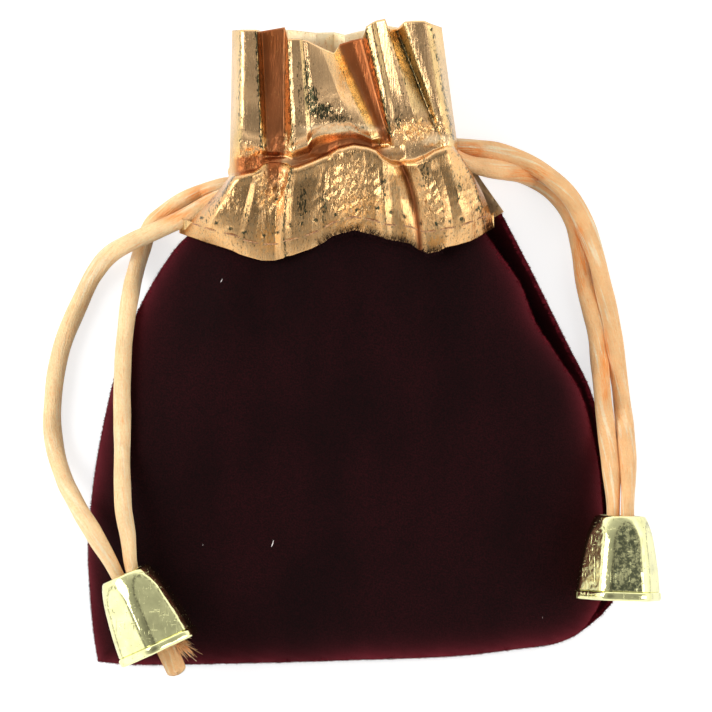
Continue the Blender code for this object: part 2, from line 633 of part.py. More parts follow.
def cord_route(front_route, back_route, exit_side, upper, frame):
    """All of one cord: out of its bell, round the neck inside the casing and back again."""
    middle = LANE_MIDDLE[0]
    far = middle - exit_side * BEND_CENTRE
    near = middle + exit_side * LANE_NEAR_END
    radius = (FRONT_LANE - BACK_LANE) / 2
    centre = (FRONT_LANE + BACK_LANE) / 2
    casing = [(near, FRONT_LANE), (middle, FRONT_LANE), (far, FRONT_LANE)]
    for k in range(1, 4):
        angle = pi / 2 - pi * k / 4
        casing.append((far - exit_side * radius * cos(angle), centre + radius * sin(angle)))
    casing += [(far, BACK_LANE), (middle, BACK_LANE), (near, BACK_LANE)]
    inside = [(x, lane(x, upper), z) for x, z in casing]
    apart = CORD_DIAMETER / 2 + FIT / 2
    half = []
    for across in (-apart, apart):
        places = [Vector((across * spread, 0, BELL_HEIGHT * share))
                  for spread, share in STRANDS_IN_BELL]
        places.append(Vector((across, 0, BELL_HEIGHT + STRANDS_LEAVE)))
        half.append([frame @ place for place in places])
    end, start = half
    return start, front_route, inside, back_route, end


def cord(name, outlines, parts, material):
    """A tube along a route, with the free stretches laid on the body or the table."""
    start, front_route, inside, back_route, end = parts
    route = [*[tuple(p) for p in start], *front_route[::-1], *inside]
    route += [*back_route, *[tuple(p) for p in end[::-1]]]
    line = curve_points(route, CORD_SAMPLES)
    free = np.abs(line[:, 0] - LANE_MIDDLE[0]) > FREE_FROM_MIDDLE
    free = free & (line[:, 1] < FREE_BELOW) & (line[:, 1] > FREE_ABOVE)
    floor_line = line[:, 2].copy()
    radius = CORD_DIAMETER / 2 + FIT
    for k in np.nonzero(free)[0]:
        floor_line[k] = max(floor_line[k], rest_height(outlines, *line[k][:2], radius) - FIT / 2)
    raised = floor_line.copy()
    for k in np.nonzero(free)[0]:
        raised[k] = floor_line[max(0, k - CORD_SMOOTHING):k + CORD_SMOOTHING + 1].max()
    smooth = raised.copy()
    for k in np.nonzero(free)[0]:
        smooth[k] = raised[max(0, k - CORD_SMOOTHING):k + CORD_SMOOTHING + 1].mean()
    line[:, 2] = np.maximum(smooth, CORD_DIAMETER / 2 + 0.02)
    chosen = bend_spacing(line, CORD_POINTS)
    data = bpy.data.curves.new(name, "CURVE")
    data.dimensions = "3D"
    data.bevel_depth = CORD_DIAMETER / 2 * MM
    data.bevel_resolution = 2
    data.use_fill_caps = True
    spline = data.splines.new("POLY")
    spline.points.add(len(chosen) - 1)
    for point, place in zip(spline.points, chosen):
        point.co = (*(Vector(place) * MM), 1.0)
    data.materials.append(material)
    item = bpy.data.objects.new(name, data)
    bpy.context.scene.collection.objects.link(item)
    return item


def bend_spacing(line, count):
    """Points along a line, closer together where it bends."""
    step = np.linalg.norm(np.diff(line, axis=0), axis=1)
    heading = np.diff(line, axis=0) / step[:, None]
    turn = np.zeros(len(step))
    turn[1:] = np.linalg.norm(np.diff(heading, axis=0), axis=1)
    turn = np.convolve(turn, np.ones(CORD_SMOOTHING) / CORD_SMOOTHING, mode="same")
    weight = np.concatenate([[0], np.cumsum(step + BEND_WEIGHT * turn)])
    at = np.linspace(0, weight[-1], count)
    return np.stack([np.interp(at, weight, line[:, c]) for c in range(3)], axis=1)


def build():
    clear_scene()
    materials = {name: make_material(name) for name in MATERIALS}
    front = Outline(RIGHT_FRONT)
    back = Outline(RIGHT_SIDE)
    outlines = (front, back)
    panel("velvet_front_panel", front, front_surface, 1.0, materials["velvet"], *FRONT_GRID)
    panel("velvet_back_panel", back, back_surface, -1.0, materials["velvet"], *BACK_GRID)
    collar("collar_front", FRONT_LINES, *FRONT_COLLAR, front, True, materials["foil_cloth"])
    collar("collar_back", BACK_LINES, *BACK_COLLAR, back, False, materials["foil_cloth"])
    left_frame = bell_frame(outlines, *LEFT_BELL)
    right_frame = bell_frame(outlines, *RIGHT_BELL)
    bell("bell_left", left_frame, materials["gold_plate"])
    bell("bell_right", right_frame, materials["gold_plate"])
    left = cord_route(LEFT_FRONT_ROUTE, LEFT_BACK_ROUTE, -1, False, left_frame)
    right = cord_route(RIGHT_FRONT_ROUTE, RIGHT_BACK_ROUTE, 1, True, right_frame)
    cord("cord_left", outlines, left, materials["satin_cord"])
    cord("cord_right", outlines, right, materials["satin_cord"])


build()
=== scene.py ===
# %% [markdown]
# A small drawstring pouch lies on its back on a white table: a velvet body, a gathered
# collar of gold foil cloth, and two satin cords that end in bell-shaped cord ends.
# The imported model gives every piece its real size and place. This lesson dresses it:
# each step makes one piece or one finish of the real object.

from math import atan2, cos, exp, pi, radians, sin, sqrt

import bpy
import numpy as np
from mathutils import Matrix, Vector


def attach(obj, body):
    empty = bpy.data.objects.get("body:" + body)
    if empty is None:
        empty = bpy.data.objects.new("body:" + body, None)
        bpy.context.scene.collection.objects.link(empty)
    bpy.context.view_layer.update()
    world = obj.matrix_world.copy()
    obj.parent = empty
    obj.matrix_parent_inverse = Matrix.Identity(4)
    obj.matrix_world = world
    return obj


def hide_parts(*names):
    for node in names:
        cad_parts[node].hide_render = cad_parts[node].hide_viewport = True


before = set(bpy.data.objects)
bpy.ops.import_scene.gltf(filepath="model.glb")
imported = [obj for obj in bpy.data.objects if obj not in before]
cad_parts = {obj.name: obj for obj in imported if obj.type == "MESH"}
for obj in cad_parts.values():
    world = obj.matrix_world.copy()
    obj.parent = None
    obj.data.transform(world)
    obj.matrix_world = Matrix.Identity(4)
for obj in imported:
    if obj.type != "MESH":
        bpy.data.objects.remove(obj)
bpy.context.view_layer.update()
MM = 0.001

# %% [markdown]
# Places on the pouch were read from the photograph, which looks straight down. One pixel of
# the 712-pixel frame is 0.14 mm on the cloth, and the pixel (353, 344) lies over the middle
# of the bag. One helper turns a picture place into millimetres on the table, and the other
# turns it back.

# %% From picture places to millimetres
PIXEL = 0.14
MIDDLE_PIXEL = (353.0, 344.0)
FRAME_PIXELS = 712


def from_photo(px, py):
    return (px - MIDDLE_PIXEL[0]) * PIXEL, (MIDDLE_PIXEL[1] - py) * PIXEL


def to_photo(x, y):
    return x / PIXEL + MIDDLE_PIXEL[0], MIDDLE_PIXEL[1] - y / PIXEL


print("bag's lower left corner", from_photo(103, 664))

# %% [markdown]
# The camera hangs far above the table with a long lens, as a product camera does, so that
# heights of a few millimetres hardly shift anything sideways.

# %% Camera
CAMERA_HEIGHT = 1500.0
SHARP_HEIGHT = 8.0
SENSOR = 36.0

camera_data = bpy.data.cameras.new("camera")
camera_data.sensor_width = SENSOR
camera_data.lens = SENSOR * (CAMERA_HEIGHT - SHARP_HEIGHT) / (FRAME_PIXELS * PIXEL)
camera_data.clip_end = 10.0
camera = bpy.data.objects.new("camera", camera_data)
bpy.context.scene.collection.objects.link(camera)
look_x, look_y = from_photo(FRAME_PIXELS / 2, FRAME_PIXELS / 2)
camera.location = (look_x * MM, look_y * MM, CAMERA_HEIGHT * MM)
bpy.context.scene.camera = camera
print("lens", round(camera_data.lens), "mm")

# %% [markdown]
# Long, thin pieces follow a smooth curve through a few given places. A Catmull-Rom
# curve passes through each of them, and its points are then spaced evenly.


# %% Smooth curves
STEPS_BETWEEN = 24


def catmull(p, k, t):
    """A point of the curve through the four places p, whose knots are k."""
    a1 = ((k[1] - t) * p[0] + (t - k[0]) * p[1]) / (k[1] - k[0])
    a2 = ((k[2] - t) * p[1] + (t - k[1]) * p[2]) / (k[2] - k[1])
    a3 = ((k[3] - t) * p[2] + (t - k[2]) * p[3]) / (k[3] - k[2])
    b1 = ((k[2] - t) * a1 + (t - k[0]) * a2) / (k[2] - k[0])
    b2 = ((k[3] - t) * a2 + (t - k[1]) * a3) / (k[3] - k[1])
    return ((k[2] - t) * b1 + (t - k[1]) * b2) / (k[2] - k[1])


def run_along(line):
    """How far along the line each of its points lies."""
    return np.concatenate([[0], np.cumsum(np.linalg.norm(np.diff(line, axis=0), axis=1))])


def place_on(line, run, spot):
    """The place at one distance along a line in space."""
    return np.array([np.interp(spot, run, line[:, c]) for c in range(3)])


def curve_points(points, count):
    """Evenly spaced points on the curve through the given ones."""
    p = [np.array(q, float) for q in points]
    p = [2 * p[0] - p[1]] + p + [2 * p[-1] - p[-2]]
    fine = []
    for i in range(1, len(p) - 2):
        knots = [0.0]
        for j in range(3):
            step = np.linalg.norm(p[i + j] - p[i + j - 1])
            knots.append(knots[-1] + max(step, 1e-6) ** 0.5)
        for k in range(STEPS_BETWEEN):
            at = knots[1] + (knots[2] - knots[1]) * k / STEPS_BETWEEN
            fine.append(catmull(p[i - 1:i + 3], knots, at))
    fine.append(p[-2])
    fine = np.array(fine)
    length = run_along(fine)
    at = np.linspace(0, length[-1], count)
    return np.stack([np.interp(at, length, fine[:, c]) for c in range(fine.shape[1])], axis=1)


def smooth_step(a, b, x):
    """0 at a, 1 at b, and smooth in between; b may be the smaller."""
    t = np.clip((np.asarray(x, float) - a) / (b - a), 0.0, 1.0)
    return t * t * (3 - 2 * t)


# %% [markdown]
# Every mesh below is made from a list of points in millimetres and a list of faces. Values
# that a finish needs, such as how deep in a fold a point lies, ride along as attributes.


# %% From points to an object
def make_piece(name, points, faces, attributes=None):
    mesh = bpy.data.meshes.new(name)
    mesh.from_pydata([tuple(float(c) * MM for c in p) for p in points], [], faces)
    for key, values in (attributes or {}).items():
        layer = mesh.attributes.new(key, "FLOAT", "POINT")
        layer.data.foreach_set("value", np.asarray(values, np.float32))
    mesh.update()
    mesh.shade_smooth()
    item = bpy.data.objects.new(name, mesh)
    bpy.context.scene.collection.objects.link(item)
    return item


def grid_faces(columns, rows, first=0, flip=False):
    """Quads of a grid that has columns + 1 points in each of its rows + 1 lines."""
    faces = []
    width = columns + 1
    for j in range(rows):
        for i in range(columns):
            a = first + j * width + i
            quad = (a, a + 1, a + 1 + width, a + width)
            faces.append(quad[::-1] if flip else quad)
    return faces

# %% [markdown]
# The background is a plain white table. Its own colour keeps the soft shadow of the bag,
# and a little extra glow, seen only by the camera and by mirror-like surfaces, lifts it to
# the clean white of a catalogue picture. The sky is bright near the horizon and dimmer
# overhead, like a light tent with a hole for the camera. Foil cloth needs that contrast:
# it shows its folds only by what each facet mirrors.

# %% Table and light
TABLE_WHITE = 0.60
TABLE_GLOW = 0.68
# Brightness of the sky by height, as the sine of the angle above the table
SKY_LEVELS = ((0.20, 1.6), (0.30, 1.4), (0.42, 0.92), (0.55, 0.63), (0.72, 0.49), (0.90, 0.42),
              (0.985, 0.20))

table_mesh = bpy.data.meshes.new("table")
table_mesh.from_pydata([(-2, -2, 0), (2, -2, 0), (2, 2, 0), (-2, 2, 0)], [], [(0, 1, 2, 3)])
table = bpy.data.objects.new("table", table_mesh)
bpy.context.scene.collection.objects.link(table)

table_paint = bpy.data.materials.new("table_white")
table_paint.use_nodes = True
nodes = table_paint.node_tree.nodes
links = table_paint.node_tree.links
plain = nodes["Principled BSDF"]
plain.inputs["Base Color"].default_value = (TABLE_WHITE, TABLE_WHITE, TABLE_WHITE, 1)
plain.inputs["Roughness"].default_value = 0.9
plain.inputs["Specular IOR Level"].default_value = 0.1
rays = nodes.new("ShaderNodeLightPath")
seen = nodes.new("ShaderNodeMath")
seen.operation = "MAXIMUM"
links.new(rays.outputs["Is Camera Ray"], seen.inputs[0])
links.new(rays.outputs["Is Glossy Ray"], seen.inputs[1])
glow = nodes.new("ShaderNodeMath")
glow.operation = "MULTIPLY"
glow.inputs[1].default_value = TABLE_GLOW
links.new(seen.outputs[0], glow.inputs[0])
plain.inputs["Emission Color"].default_value = (1, 1, 1, 1)
links.new(glow.outputs[0], plain.inputs["Emission Strength"])
table_mesh.materials.append(table_paint)

world = bpy.data.worlds.new("light_tent")
bpy.context.scene.world = world
world.use_nodes = True
nodes = world.node_tree.nodes
links = world.node_tree.links
sky = nodes["Background"]
place = nodes.new("ShaderNodeTexCoord")
split = nodes.new("ShaderNodeSeparateXYZ")
ramp = nodes.new("ShaderNodeValToRGB")
links.new(place.outputs["Generated"], split.inputs[0])
links.new(split.outputs["Z"], ramp.inputs["Fac"])
stops = ramp.color_ramp.elements
stops.remove(stops[1])
for index, (height, level) in enumerate(SKY_LEVELS):
    stop = stops[0] if index == 0 else stops.new(height)
    stop.position = height
    stop.color = (level, level, level, 1)
links.new(ramp.outputs["Color"], sky.inputs["Color"])
rays = nodes.new("ShaderNodeLightPath")
white = nodes.new("ShaderNodeBackground")
white.inputs["Color"].default_value = (1, 1, 1, 1)
choose = nodes.new("ShaderNodeMixShader")
links.new(rays.outputs["Is Camera Ray"], choose.inputs["Fac"])
links.new(sky.outputs[0], choose.inputs[1])
links.new(white.outputs[0], choose.inputs[2])
links.new(choose.outputs[0], nodes["World Output"].inputs["Surface"])


def soft_lamp(name, place_mm, aim_mm, size_mm, power):
    lamp = bpy.data.lights.new(name, "AREA")
    lamp.shape = "SQUARE"
    lamp.size = size_mm * MM
    lamp.energy = power
    item = bpy.data.objects.new(name, lamp)
    bpy.context.scene.collection.objects.link(item)
    item.location = Vector(place_mm) * MM
    towards = (Vector(aim_mm) - Vector(place_mm)).normalized()
    item.rotation_euler = towards.to_track_quat("-Z", "Y").to_euler()
    return item


soft_lamp("key_left", (-420, 120, 330), (0, 0, 5), 300, 1.7)
soft_lamp("fill_right", (420, -60, 300), (0, 0, 5), 260, 0.6)
print("table and light are ready")

# %% [markdown]
# The body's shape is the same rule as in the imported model: a cushion that is closed along
# its side and bottom seams and open under the collar. How high a point lies depends on its
# depth inside the seams, so one function gives the distance to the nearest seam for any
# number of points at once.

# %% Seams of the body
SEAM_HEIGHT = 2.7
SEAM_HEIGHT_AT_HEM = 6.2
SEAM_GAP = 0.02
FRONT_ROUND = 16.0
BACK_ROUND = 8.0
BELLY_HEIGHT = 11.15
BELLY_DROP_BOTTOM = 5.4
BACK_RAISE = 2.05
# Where along y each of these heights changes
SEAM_RISE_Y = (-14.0, 13.0)
BELLY_RISE_Y = (-50.0, 12.0)
BACK_RAISE_Y = (0.0, 12.0)
# The body's outline under the collar, past the ends of the seams
ABOVE_LEFT = (-17.4, 23.0)
ABOVE_RIGHT = (14.1, 25.8)

LEFT_SIDE = [(-35.8, -44.6), (-36.3, -41.4), (-36.9, -35.4), (-37.2, -28.0), (-36.5, -19.5),
             (-35.3, -12.0), (-33.3, -3.2), (-30.5, 4.9), (-27.0, 11.5), (-24.4, 15.2),
             (-21.4, 18.1)]
BOTTOM = [(-35.8, -44.6), (-31.2, -45.0), (-14.4, -44.8), (-0.4, -44.4), (14.6, -43.8),
          (23.4, -42.8), (28.6, -42.0), (32.0, -40.4), (35.0, -38.0)]
RIGHT_SIDE = [(35.0, -38.0), (36.8, -35.6), (37.2, -30.0), (36.8, -23.2), (35.6, -14.8),
              (33.2, -6.2), (30.4, -0.6), (27.6, 5.0), (24.8, 10.6), (22.5, 15.0),
              (20.6, 18.6)]
RIGHT_FRONT = [(34.2, -37.4), (35.3, -34.6), (35.5, -30.0), (35.1, -23.2), (34.2, -14.8),
               (32.0, -6.2), (28.3, -0.1), (25.5, 4.4), (23.4, 9.8), (20.2, 14.6),
               (17.5, 18.7)]


class Seams:
    """The seam lines of one panel, as points on the table."""

    def __init__(self, right_side):
        self.left = curve_points(LEFT_SIDE, 90)
        self.bottom = curve_points(BOTTOM[:-1] + [right_side[0]], 80)
        self.right = curve_points(right_side, 90)
        self.loop = np.array([ABOVE_LEFT, *self.left[::-1], *self.bottom[1:],
                              *self.right[1:], ABOVE_RIGHT])

    def depth(self, x, y):
        """Distance inside the seams; negative outside."""
        places = np.stack([np.ravel(x), np.ravel(y)], axis=1)
        start, ab = self.loop[:-1], np.diff(self.loop, axis=0)
        depths = []
        for some in np.array_split(places, 1 + len(places) // 4000):
            ap = some[:, None, :] - start
            t = np.clip((ap * ab).sum(2) / (ab * ab).sum(1), 0, 1)
            away = ap - ab * t[:, :, None]
            size = np.hypot(away[:, :, 0], away[:, :, 1])
            nearest = (np.arange(len(some)), size.argmin(axis=1))
            line = ab[nearest[1]]
            side = away[nearest][:, 1] * line[:, 0] - away[nearest][:, 0] * line[:, 1]
            depths.append(np.where(side < 0, -1, 1) * size[nearest])
        return np.concatenate(depths)


def cushion(share):
    """How high a cushion stands, by the distance in from its edge: both as shares."""
    share = np.clip(share, 0.0, 1.0)
    return np.sqrt(1 - (1 - share) ** 2)


def seam_height(y):
    return SEAM_HEIGHT + (SEAM_HEIGHT_AT_HEM - SEAM_HEIGHT) * smooth_step(*SEAM_RISE_Y, y)


def front_height(seams, x, y):
    shape = np.shape(x)
    depth = seams.depth(x, y).reshape(shape)
    low = seam_height(y) + SEAM_GAP
    top = BELLY_HEIGHT - BELLY_DROP_BOTTOM * (1 - smooth_step(*BELLY_RISE_Y, y))
    return low + (top - low) * cushion(depth / FRONT_ROUND)


def back_height(seams, x, y):
    shape = np.shape(x)
    depth = seams.depth(x, y).reshape(shape)
    low = BACK_RAISE * smooth_step(*BACK_RAISE_Y, y)
    high = seam_height(y) - SEAM_GAP
    return high - (high - low) * cushion(depth / BACK_ROUND)


front_seams = Seams(RIGHT_FRONT)
back_seams = Seams(RIGHT_SIDE)
print("front is", float(front_height(front_seams, np.array([0.0]), np.array([0.0]))[0]), "mm high")

# %% [markdown]
# Each cord is one length of satin rattail: out of its bell, up the side, round the whole neck
# inside the casing, and back to the bell. Its places are listed below, and differ from the
# imported model's by about a millimetre at most, to lie where the photograph shows the cord. A
# cord lies on whatever is under it, so its height comes from a ball of the cord's size that
# rolls along over the body, whose height is known everywhere from the rule above.

# %% Cord routes
CORD_DIAMETER = 2.4
CORD_REST = CORD_DIAMETER / 2 + 0.15
OFF_TABLE = 0.02
LANE_MIDDLE = (-1.7, 24.2)
LANE_SLOPE = 0.107
LANE_HALF_SPACING = 1.5
BEND_CENTRE = 10.6
BEND_SHORTER = 0.8
BACK_LANE = 3.25
FRONT_LANE = 11.35
# Where a cord lies loose, outside the casing and the bell
LOOSE_FROM_MIDDLE = 20
LOOSE_Y = (-30, 21.5)
SMOOTH_WINDOW = 6

LEFT_FRONT_ROUTE = [(-15.4, 20.9, 10.2), (-17.9, 20.6, 8.7), (-20.4, 19.4, 7.5), (-23.6, 17.7, 6.6),
                    (-27.1, 16.1, 5.2), (-30.7, 14.5, 4.2), (-34.1, 12.6, 1.8), (-36.7, 9.4, 0),
                    (-38.4, 5.8, 0), (-40.1, 2.0, 0), (-41.5, -2.6, 0), (-42.3, -9.9, 0),
                    (-42.0, -14.1, 0), (-40.6, -18.8, 2.5), (-38.6, -22.6, 6.0),
                    (-35.9, -27.0, 11.2)]
LEFT_BACK_ROUTE = [(-15.2, 21.7, 4.0), (-17.6, 22.2, 4.9), (-19.9, 21.7, 4.6), (-23.5, 20.3, 2.4),
                   (-26.3, 18.5, 0), (-28.4, 16.7, 0), (-29.6, 13.4, 0), (-30.5, 10.4, 0),
                   (-31.3, 6.2, 0), (-32.0, 0.6, 0), (-32.3, -5.0, 0), (-32.3, -12.0, 0),
                   (-32.3, -17.6, 8.4), (-32.1, -22.8, 9.8), (-31.4, -27.2, 11.1)]
RIGHT_FRONT_ROUTE = [(11.4, 27.0, 10.2), (13.4, 26.5, 9.1), (15.7, 25.4, 8.0), (19.9, 24.5, 5.8),
                     (23.5, 23.9, 3.2), (26.8, 22.4, 0), (29.2, 20.2, 0), (30.9, 17.5, 0),
                     (31.8, 14.3, 0), (32.4, 9.4, 0), (33.3, 5.3, 0), (34.3, 1.3, 0),
                     (34.7, -2.9, 0), (35.1, -7.8, 0), (35.7, -13.4, 3.0), (36.2, -18.6, 7.2)]
RIGHT_BACK_ROUTE = [(11.6, 27.3, 4.1), (13.6, 27.6, 5.1), (15.6, 27.6, 5.3), (20.6, 26.8, 4.4),
                    (25.0, 25.2, 3.5), (28.3, 22.9, 3.5), (30.8, 20.2, 3.6), (32.6, 16.6, 3.5),
                    (34.0, 12.6, 2.8), (35.1, 8.3, 1.5), (36.2, 3.2, 0), (36.9, -1.4, 0),
                    (37.6, -6.4, 0), (38.3, -13.4, 3.0), (38.5, -18.6, 7.2)]

BELL_HEIGHT = 11.8
BELL_RIM_RADIUS = 6.2
BELL_ACROSS_ROUND = 12.0
BELL_ACROSS_FLATS = 11.0
BELL_FLAT_LEAN = 1.75
BELL_FLAT_POWER = 1.6
BELL_TAPER = 0.33
BELL_TAPER_POWER = 1.5
BELL_DOME_START = 0.7
BELL_HOLE_LIP = 0.5
FIT = 0.3
BELL_HOLE = CORD_DIAMETER + 1.5 * FIT
STRAND_APART = CORD_DIAMETER / 2 + FIT / 2
# The strands squeeze together where they leave the bell: spread and share of its height
STRANDS_IN_BELL = ((1.45, 0.18), (1.2, 0.5), (0.78, 0.97))
LEFT_BELL = {"top": (-31.8, -32.2), "mouth": (-26.9, -42.8), "roll": radians(-8)}
RIGHT_BELL = {"top": (37.4, -24.1), "mouth": (37.0, -35.8), "roll": radians(-18)}
# The collar's lower edge, from left to right
HEM_X = [-24.5, -21.4, -17.8, -14.3, -12.2, -10.1, -9.1, -6.7, -3.2, 0.3, 3.5, 6.3, 8.3, 9.1,
         10.5, 12.2, 13.9, 15.5, 17.2, 18.5, 19.7]
HEM_Y = [15.7, 14.3, 13.2, 12.2, 11.6, 11.8, 12.2, 12.9, 14.4, 15.7, 14.8, 14.3, 14.0, 13.3,
         12.6, 12.9, 13.9, 13.9, 14.4, 15.3, 16.3]


def rest_heights(x, y, radius):
    """Heights of the centre of a ball that rests on the body or on the table at each place."""
    x, y = np.ravel(np.asarray(x, float)), np.ravel(np.asarray(y, float))
    best = np.full(x.shape, float(radius))
    for ring in range(4):
        reach = radius * ring / 3 * 0.999
        for k in range(max(1, ring * 8)):
            angle = 2 * pi * k / max(1, ring * 8)
            px, py = x + reach * cos(angle), y + reach * sin(angle)
            lift = sqrt(radius * radius - reach * reach)
            below_hem = py < np.interp(px, HEM_X, HEM_Y)
            on_front = below_hem & (front_seams.depth(px, py) > -0.05)
            on_back = below_hem & ~on_front & (back_seams.depth(px, py) > -0.05)
            height = np.where(on_front, front_height(front_seams, px, py) + lift, 0)
            height = np.where(on_back, seam_height(py) + lift, height)
            best = np.maximum(best, height)
    return best


def bell_profile(share):
    """Radius of the round bell under its flats, from the mouth (0) to the top (1)."""
    side = BELL_ACROSS_ROUND / 2 * (1 - BELL_TAPER * share ** BELL_TAPER_POWER)
    top = BELL_HOLE + BELL_HOLE_LIP
    dome = max(0.0, (share - BELL_DOME_START) / (1 - BELL_DOME_START))
    return top + (side - top) * sqrt(1 - dome * dome)


def bell_flat(share):
    """Distance of a flat from the bell's axis."""
    return BELL_ACROSS_FLATS / 2 - BELL_FLAT_LEAN * share ** BELL_FLAT_POWER


def bell_place(bell):
    """Turns bell coordinates, with z from the mouth to the top, into places on the table."""
    top, mouth = Vector(bell["top"]), Vector(bell["mouth"])
    rests = []
    for share in (0.0, 0.1, 0.3, 0.5, 0.7, 0.9):
        at = mouth.lerp(top, share)
        size = BELL_RIM_RADIUS if share < 0.2 else bell_profile(share)
        rests.append((share, float(rest_heights([at.x], [at.y], size + FIT)[0])))
    slope = max(0.0, (rests[4][1] - rests[1][1]) / (rests[4][0] - rests[1][0]))
    base = max(height - slope * share for share, height in rests)
    low = Vector((mouth.x, mouth.y, base))
    axis = (Vector((top.x, top.y, base + slope)) - low).normalized()
    side = Vector((0, 0, 1)).cross(axis).normalized()
    turn = Matrix((side, axis.cross(side), axis)).transposed().to_4x4()
    return Matrix.Translation(low) @ turn @ Matrix.Rotation(bell["roll"], 4, "Z")


def cord_line(front_route, back_route, exit_side, upper, bell):
    """Evenly spaced points along a whole cord."""
    place = bell["place"]
    ends = []
    for across in (STRAND_APART, -STRAND_APART):
        ends.append([tuple(place @ Vector((across * spread, 0, BELL_HEIGHT * share)))
                     for spread, share in STRANDS_IN_BELL])
    middle, reach = LANE_MIDDLE[0], (FRONT_LANE - BACK_LANE) / 2
    far, near = middle - exit_side * BEND_CENTRE, middle + exit_side * (BEND_CENTRE - BEND_SHORTER)
    casing = [(near, FRONT_LANE), (middle, FRONT_LANE), (far, FRONT_LANE)]
    for k in range(1, 4):
        angle = pi / 2 - pi * k / 4
        casing.append((far - exit_side * reach * cos(angle), BACK_LANE + reach * (1 + sin(angle))))
    casing += [(far, BACK_LANE), (middle, BACK_LANE), (near, BACK_LANE)]
    spacing = LANE_HALF_SPACING if upper else -LANE_HALF_SPACING
    inside = [(x, LANE_MIDDLE[1] + LANE_SLOPE * (x - middle) + spacing, z) for x, z in casing]
    route = [*ends[0], *front_route[::-1], *inside, *back_route, *ends[1][::-1]]
    line = curve_points(route, 480)
    free = np.abs(line[:, 0] - middle) > LOOSE_FROM_MIDDLE
    free = free & (line[:, 1] > LOOSE_Y[0]) & (line[:, 1] < LOOSE_Y[1])
    resting = rest_heights(line[:, 0], line[:, 1], CORD_REST)
    under = np.where(free, np.maximum(line[:, 2], resting), line[:, 2])

    def around(heights, middle_of):
        spans = [heights[max(0, k - SMOOTH_WINDOW):k + SMOOTH_WINDOW + 1] for k in range(len(line))]
        return np.array([middle_of(span) if lies else height
                         for span, lies, height in zip(spans, free, heights)])

    smooth = around(around(under, np.max), np.mean)
    line[:, 2] = np.maximum(smooth, CORD_DIAMETER / 2 + OFF_TABLE)
    return curve_points(line[::4], 800)


LEFT_BELL["place"] = bell_place(LEFT_BELL)
RIGHT_BELL["place"] = bell_place(RIGHT_BELL)
left_line = cord_line(LEFT_FRONT_ROUTE, LEFT_BACK_ROUTE, -1, False, LEFT_BELL)
right_line = cord_line(RIGHT_FRONT_ROUTE, RIGHT_BACK_ROUTE, 1, True, RIGHT_BELL)
for name, line in (("left", left_line), ("right", right_line)):
    print(name, "cord is", round(float(run_along(line)[-1]), 1), "mm long")

# %% [markdown]
# Rattail is a soft core wrapped in satin. It isn't a perfect rod: it flattens a little where
# it turns, and the wrap winds slowly round it. The tube below changes its section gently
# along its length, and keeps two values at every point for the finish: how far along the
# cord the point is, and how far around.

# %% Cord tubes
CORD_SIDES = 22
# How the loose length begins, by x and by the run from the bell, and the squeeze at the bell
OUT_OF_CASING_X = (16.5, 20.0)
OUT_OF_BELL = (8.0, 22.0)
SQUEEZED = (9.5, 16.0)
SQUEEZE = 0.17
# Where the strands lie close and light up each other's orange, that light is painted in as
# glow: middle in picture places, half width, half height, strength
ORANGE_PAINTED_GLOW = [(470, 150, 14, 7, 1.0), (528, 174, 20, 8, 0.9), (581, 258, 7, 34, 1.0), (606, 368, 5, 40, 0.8),
          (172, 214, 22, 9, 1.0), (200, 195, 16, 12, 0.9)]
PAINTED_GLOW_GAIN = 3.0


def patches(px, py, table):
    """How strongly the table's soft spots cover each picture place."""
    total = np.zeros(np.shape(px))
    for mx, my, half_x, half_y, strength in table:
        away = ((px - mx) / half_x) ** 2 + ((py - my) / half_y) ** 2
        total = np.maximum(total, strength * np.exp(-away ** 1.5))
    return total


def cord_tube(name, line, seed, widen, tone):
    """The satin tube round a cord's line, wider by a share where the cord lies loose."""
    count = len(line)
    heading = np.gradient(line, axis=0)
    heading /= np.linalg.norm(heading, axis=1)[:, None]
    side = np.zeros((count, 3))
    side[0] = np.cross(heading[0], (0, 0, 1))
    side[0] /= np.linalg.norm(side[0])
    for k in range(1, count):
        moved = side[k - 1] - heading[k] * (side[k - 1] @ heading[k])
        side[k] = moved / np.linalg.norm(moved)
    other = np.cross(heading, side)
    run = run_along(line)
    points, along, around, tones = [], [], [], []
    radius = CORD_DIAMETER / 2
    slack = smooth_step(*OUT_OF_CASING_X, np.abs(line[:, 0])) * smooth_step(*OUT_OF_BELL, run)
    slack = slack * smooth_step(*OUT_OF_BELL, run[-1] - run)
    tight = 1 - smooth_step(*SQUEEZED, np.minimum(run, run[-1] - run))
    for k in range(count):
        s = run[k]
        flat = 0.07 * sin(s * 0.21 + seed) + 0.04 * sin(s * 0.53 + 2 * seed)
        lean = 0.09 * s + seed
        for i in range(CORD_SIDES + 1):
            a = 2 * pi * i / CORD_SIDES
            r = radius * (1 + flat * cos(2 * (a - lean)) + 0.012 * sin(5 * a + s * 1.1))
            spoke = r * (cos(a) * side[k] + sin(a) * other[k])
            spoke[:2] *= 1 + widen * slack[k] - SQUEEZE * tight[k]
            spoke[2] *= 1 - 0.5 * widen * slack[k]
            points.append(line[k] + spoke)
            # A tone above 1 marks the patches of painted glow.
            tones.append(tone + PAINTED_GLOW_GAIN * float(patches(*to_photo(*points[-1][:2]), ORANGE_PAINTED_GLOW)))
            along.append(s)
            around.append(i / CORD_SIDES)
    faces = grid_faces(CORD_SIDES, count - 1)
    for end in (0, -1):
        first = (count - 1) * (CORD_SIDES + 1) * -end
        points.append(line[end])
        along.append(run[end])
        around.append(0.5)
        tones.append(tone)
        tip = len(points) - 1
        for i in range(CORD_SIDES):
            face = (first + i + 1, first + i, tip)
            faces.append(face if end == 0 else face[::-1])
    tube = make_piece(name, points, faces, {"along": along, "around": around, "tone": tones})
    tube["length_mm"] = float(run[-1])
    return tube


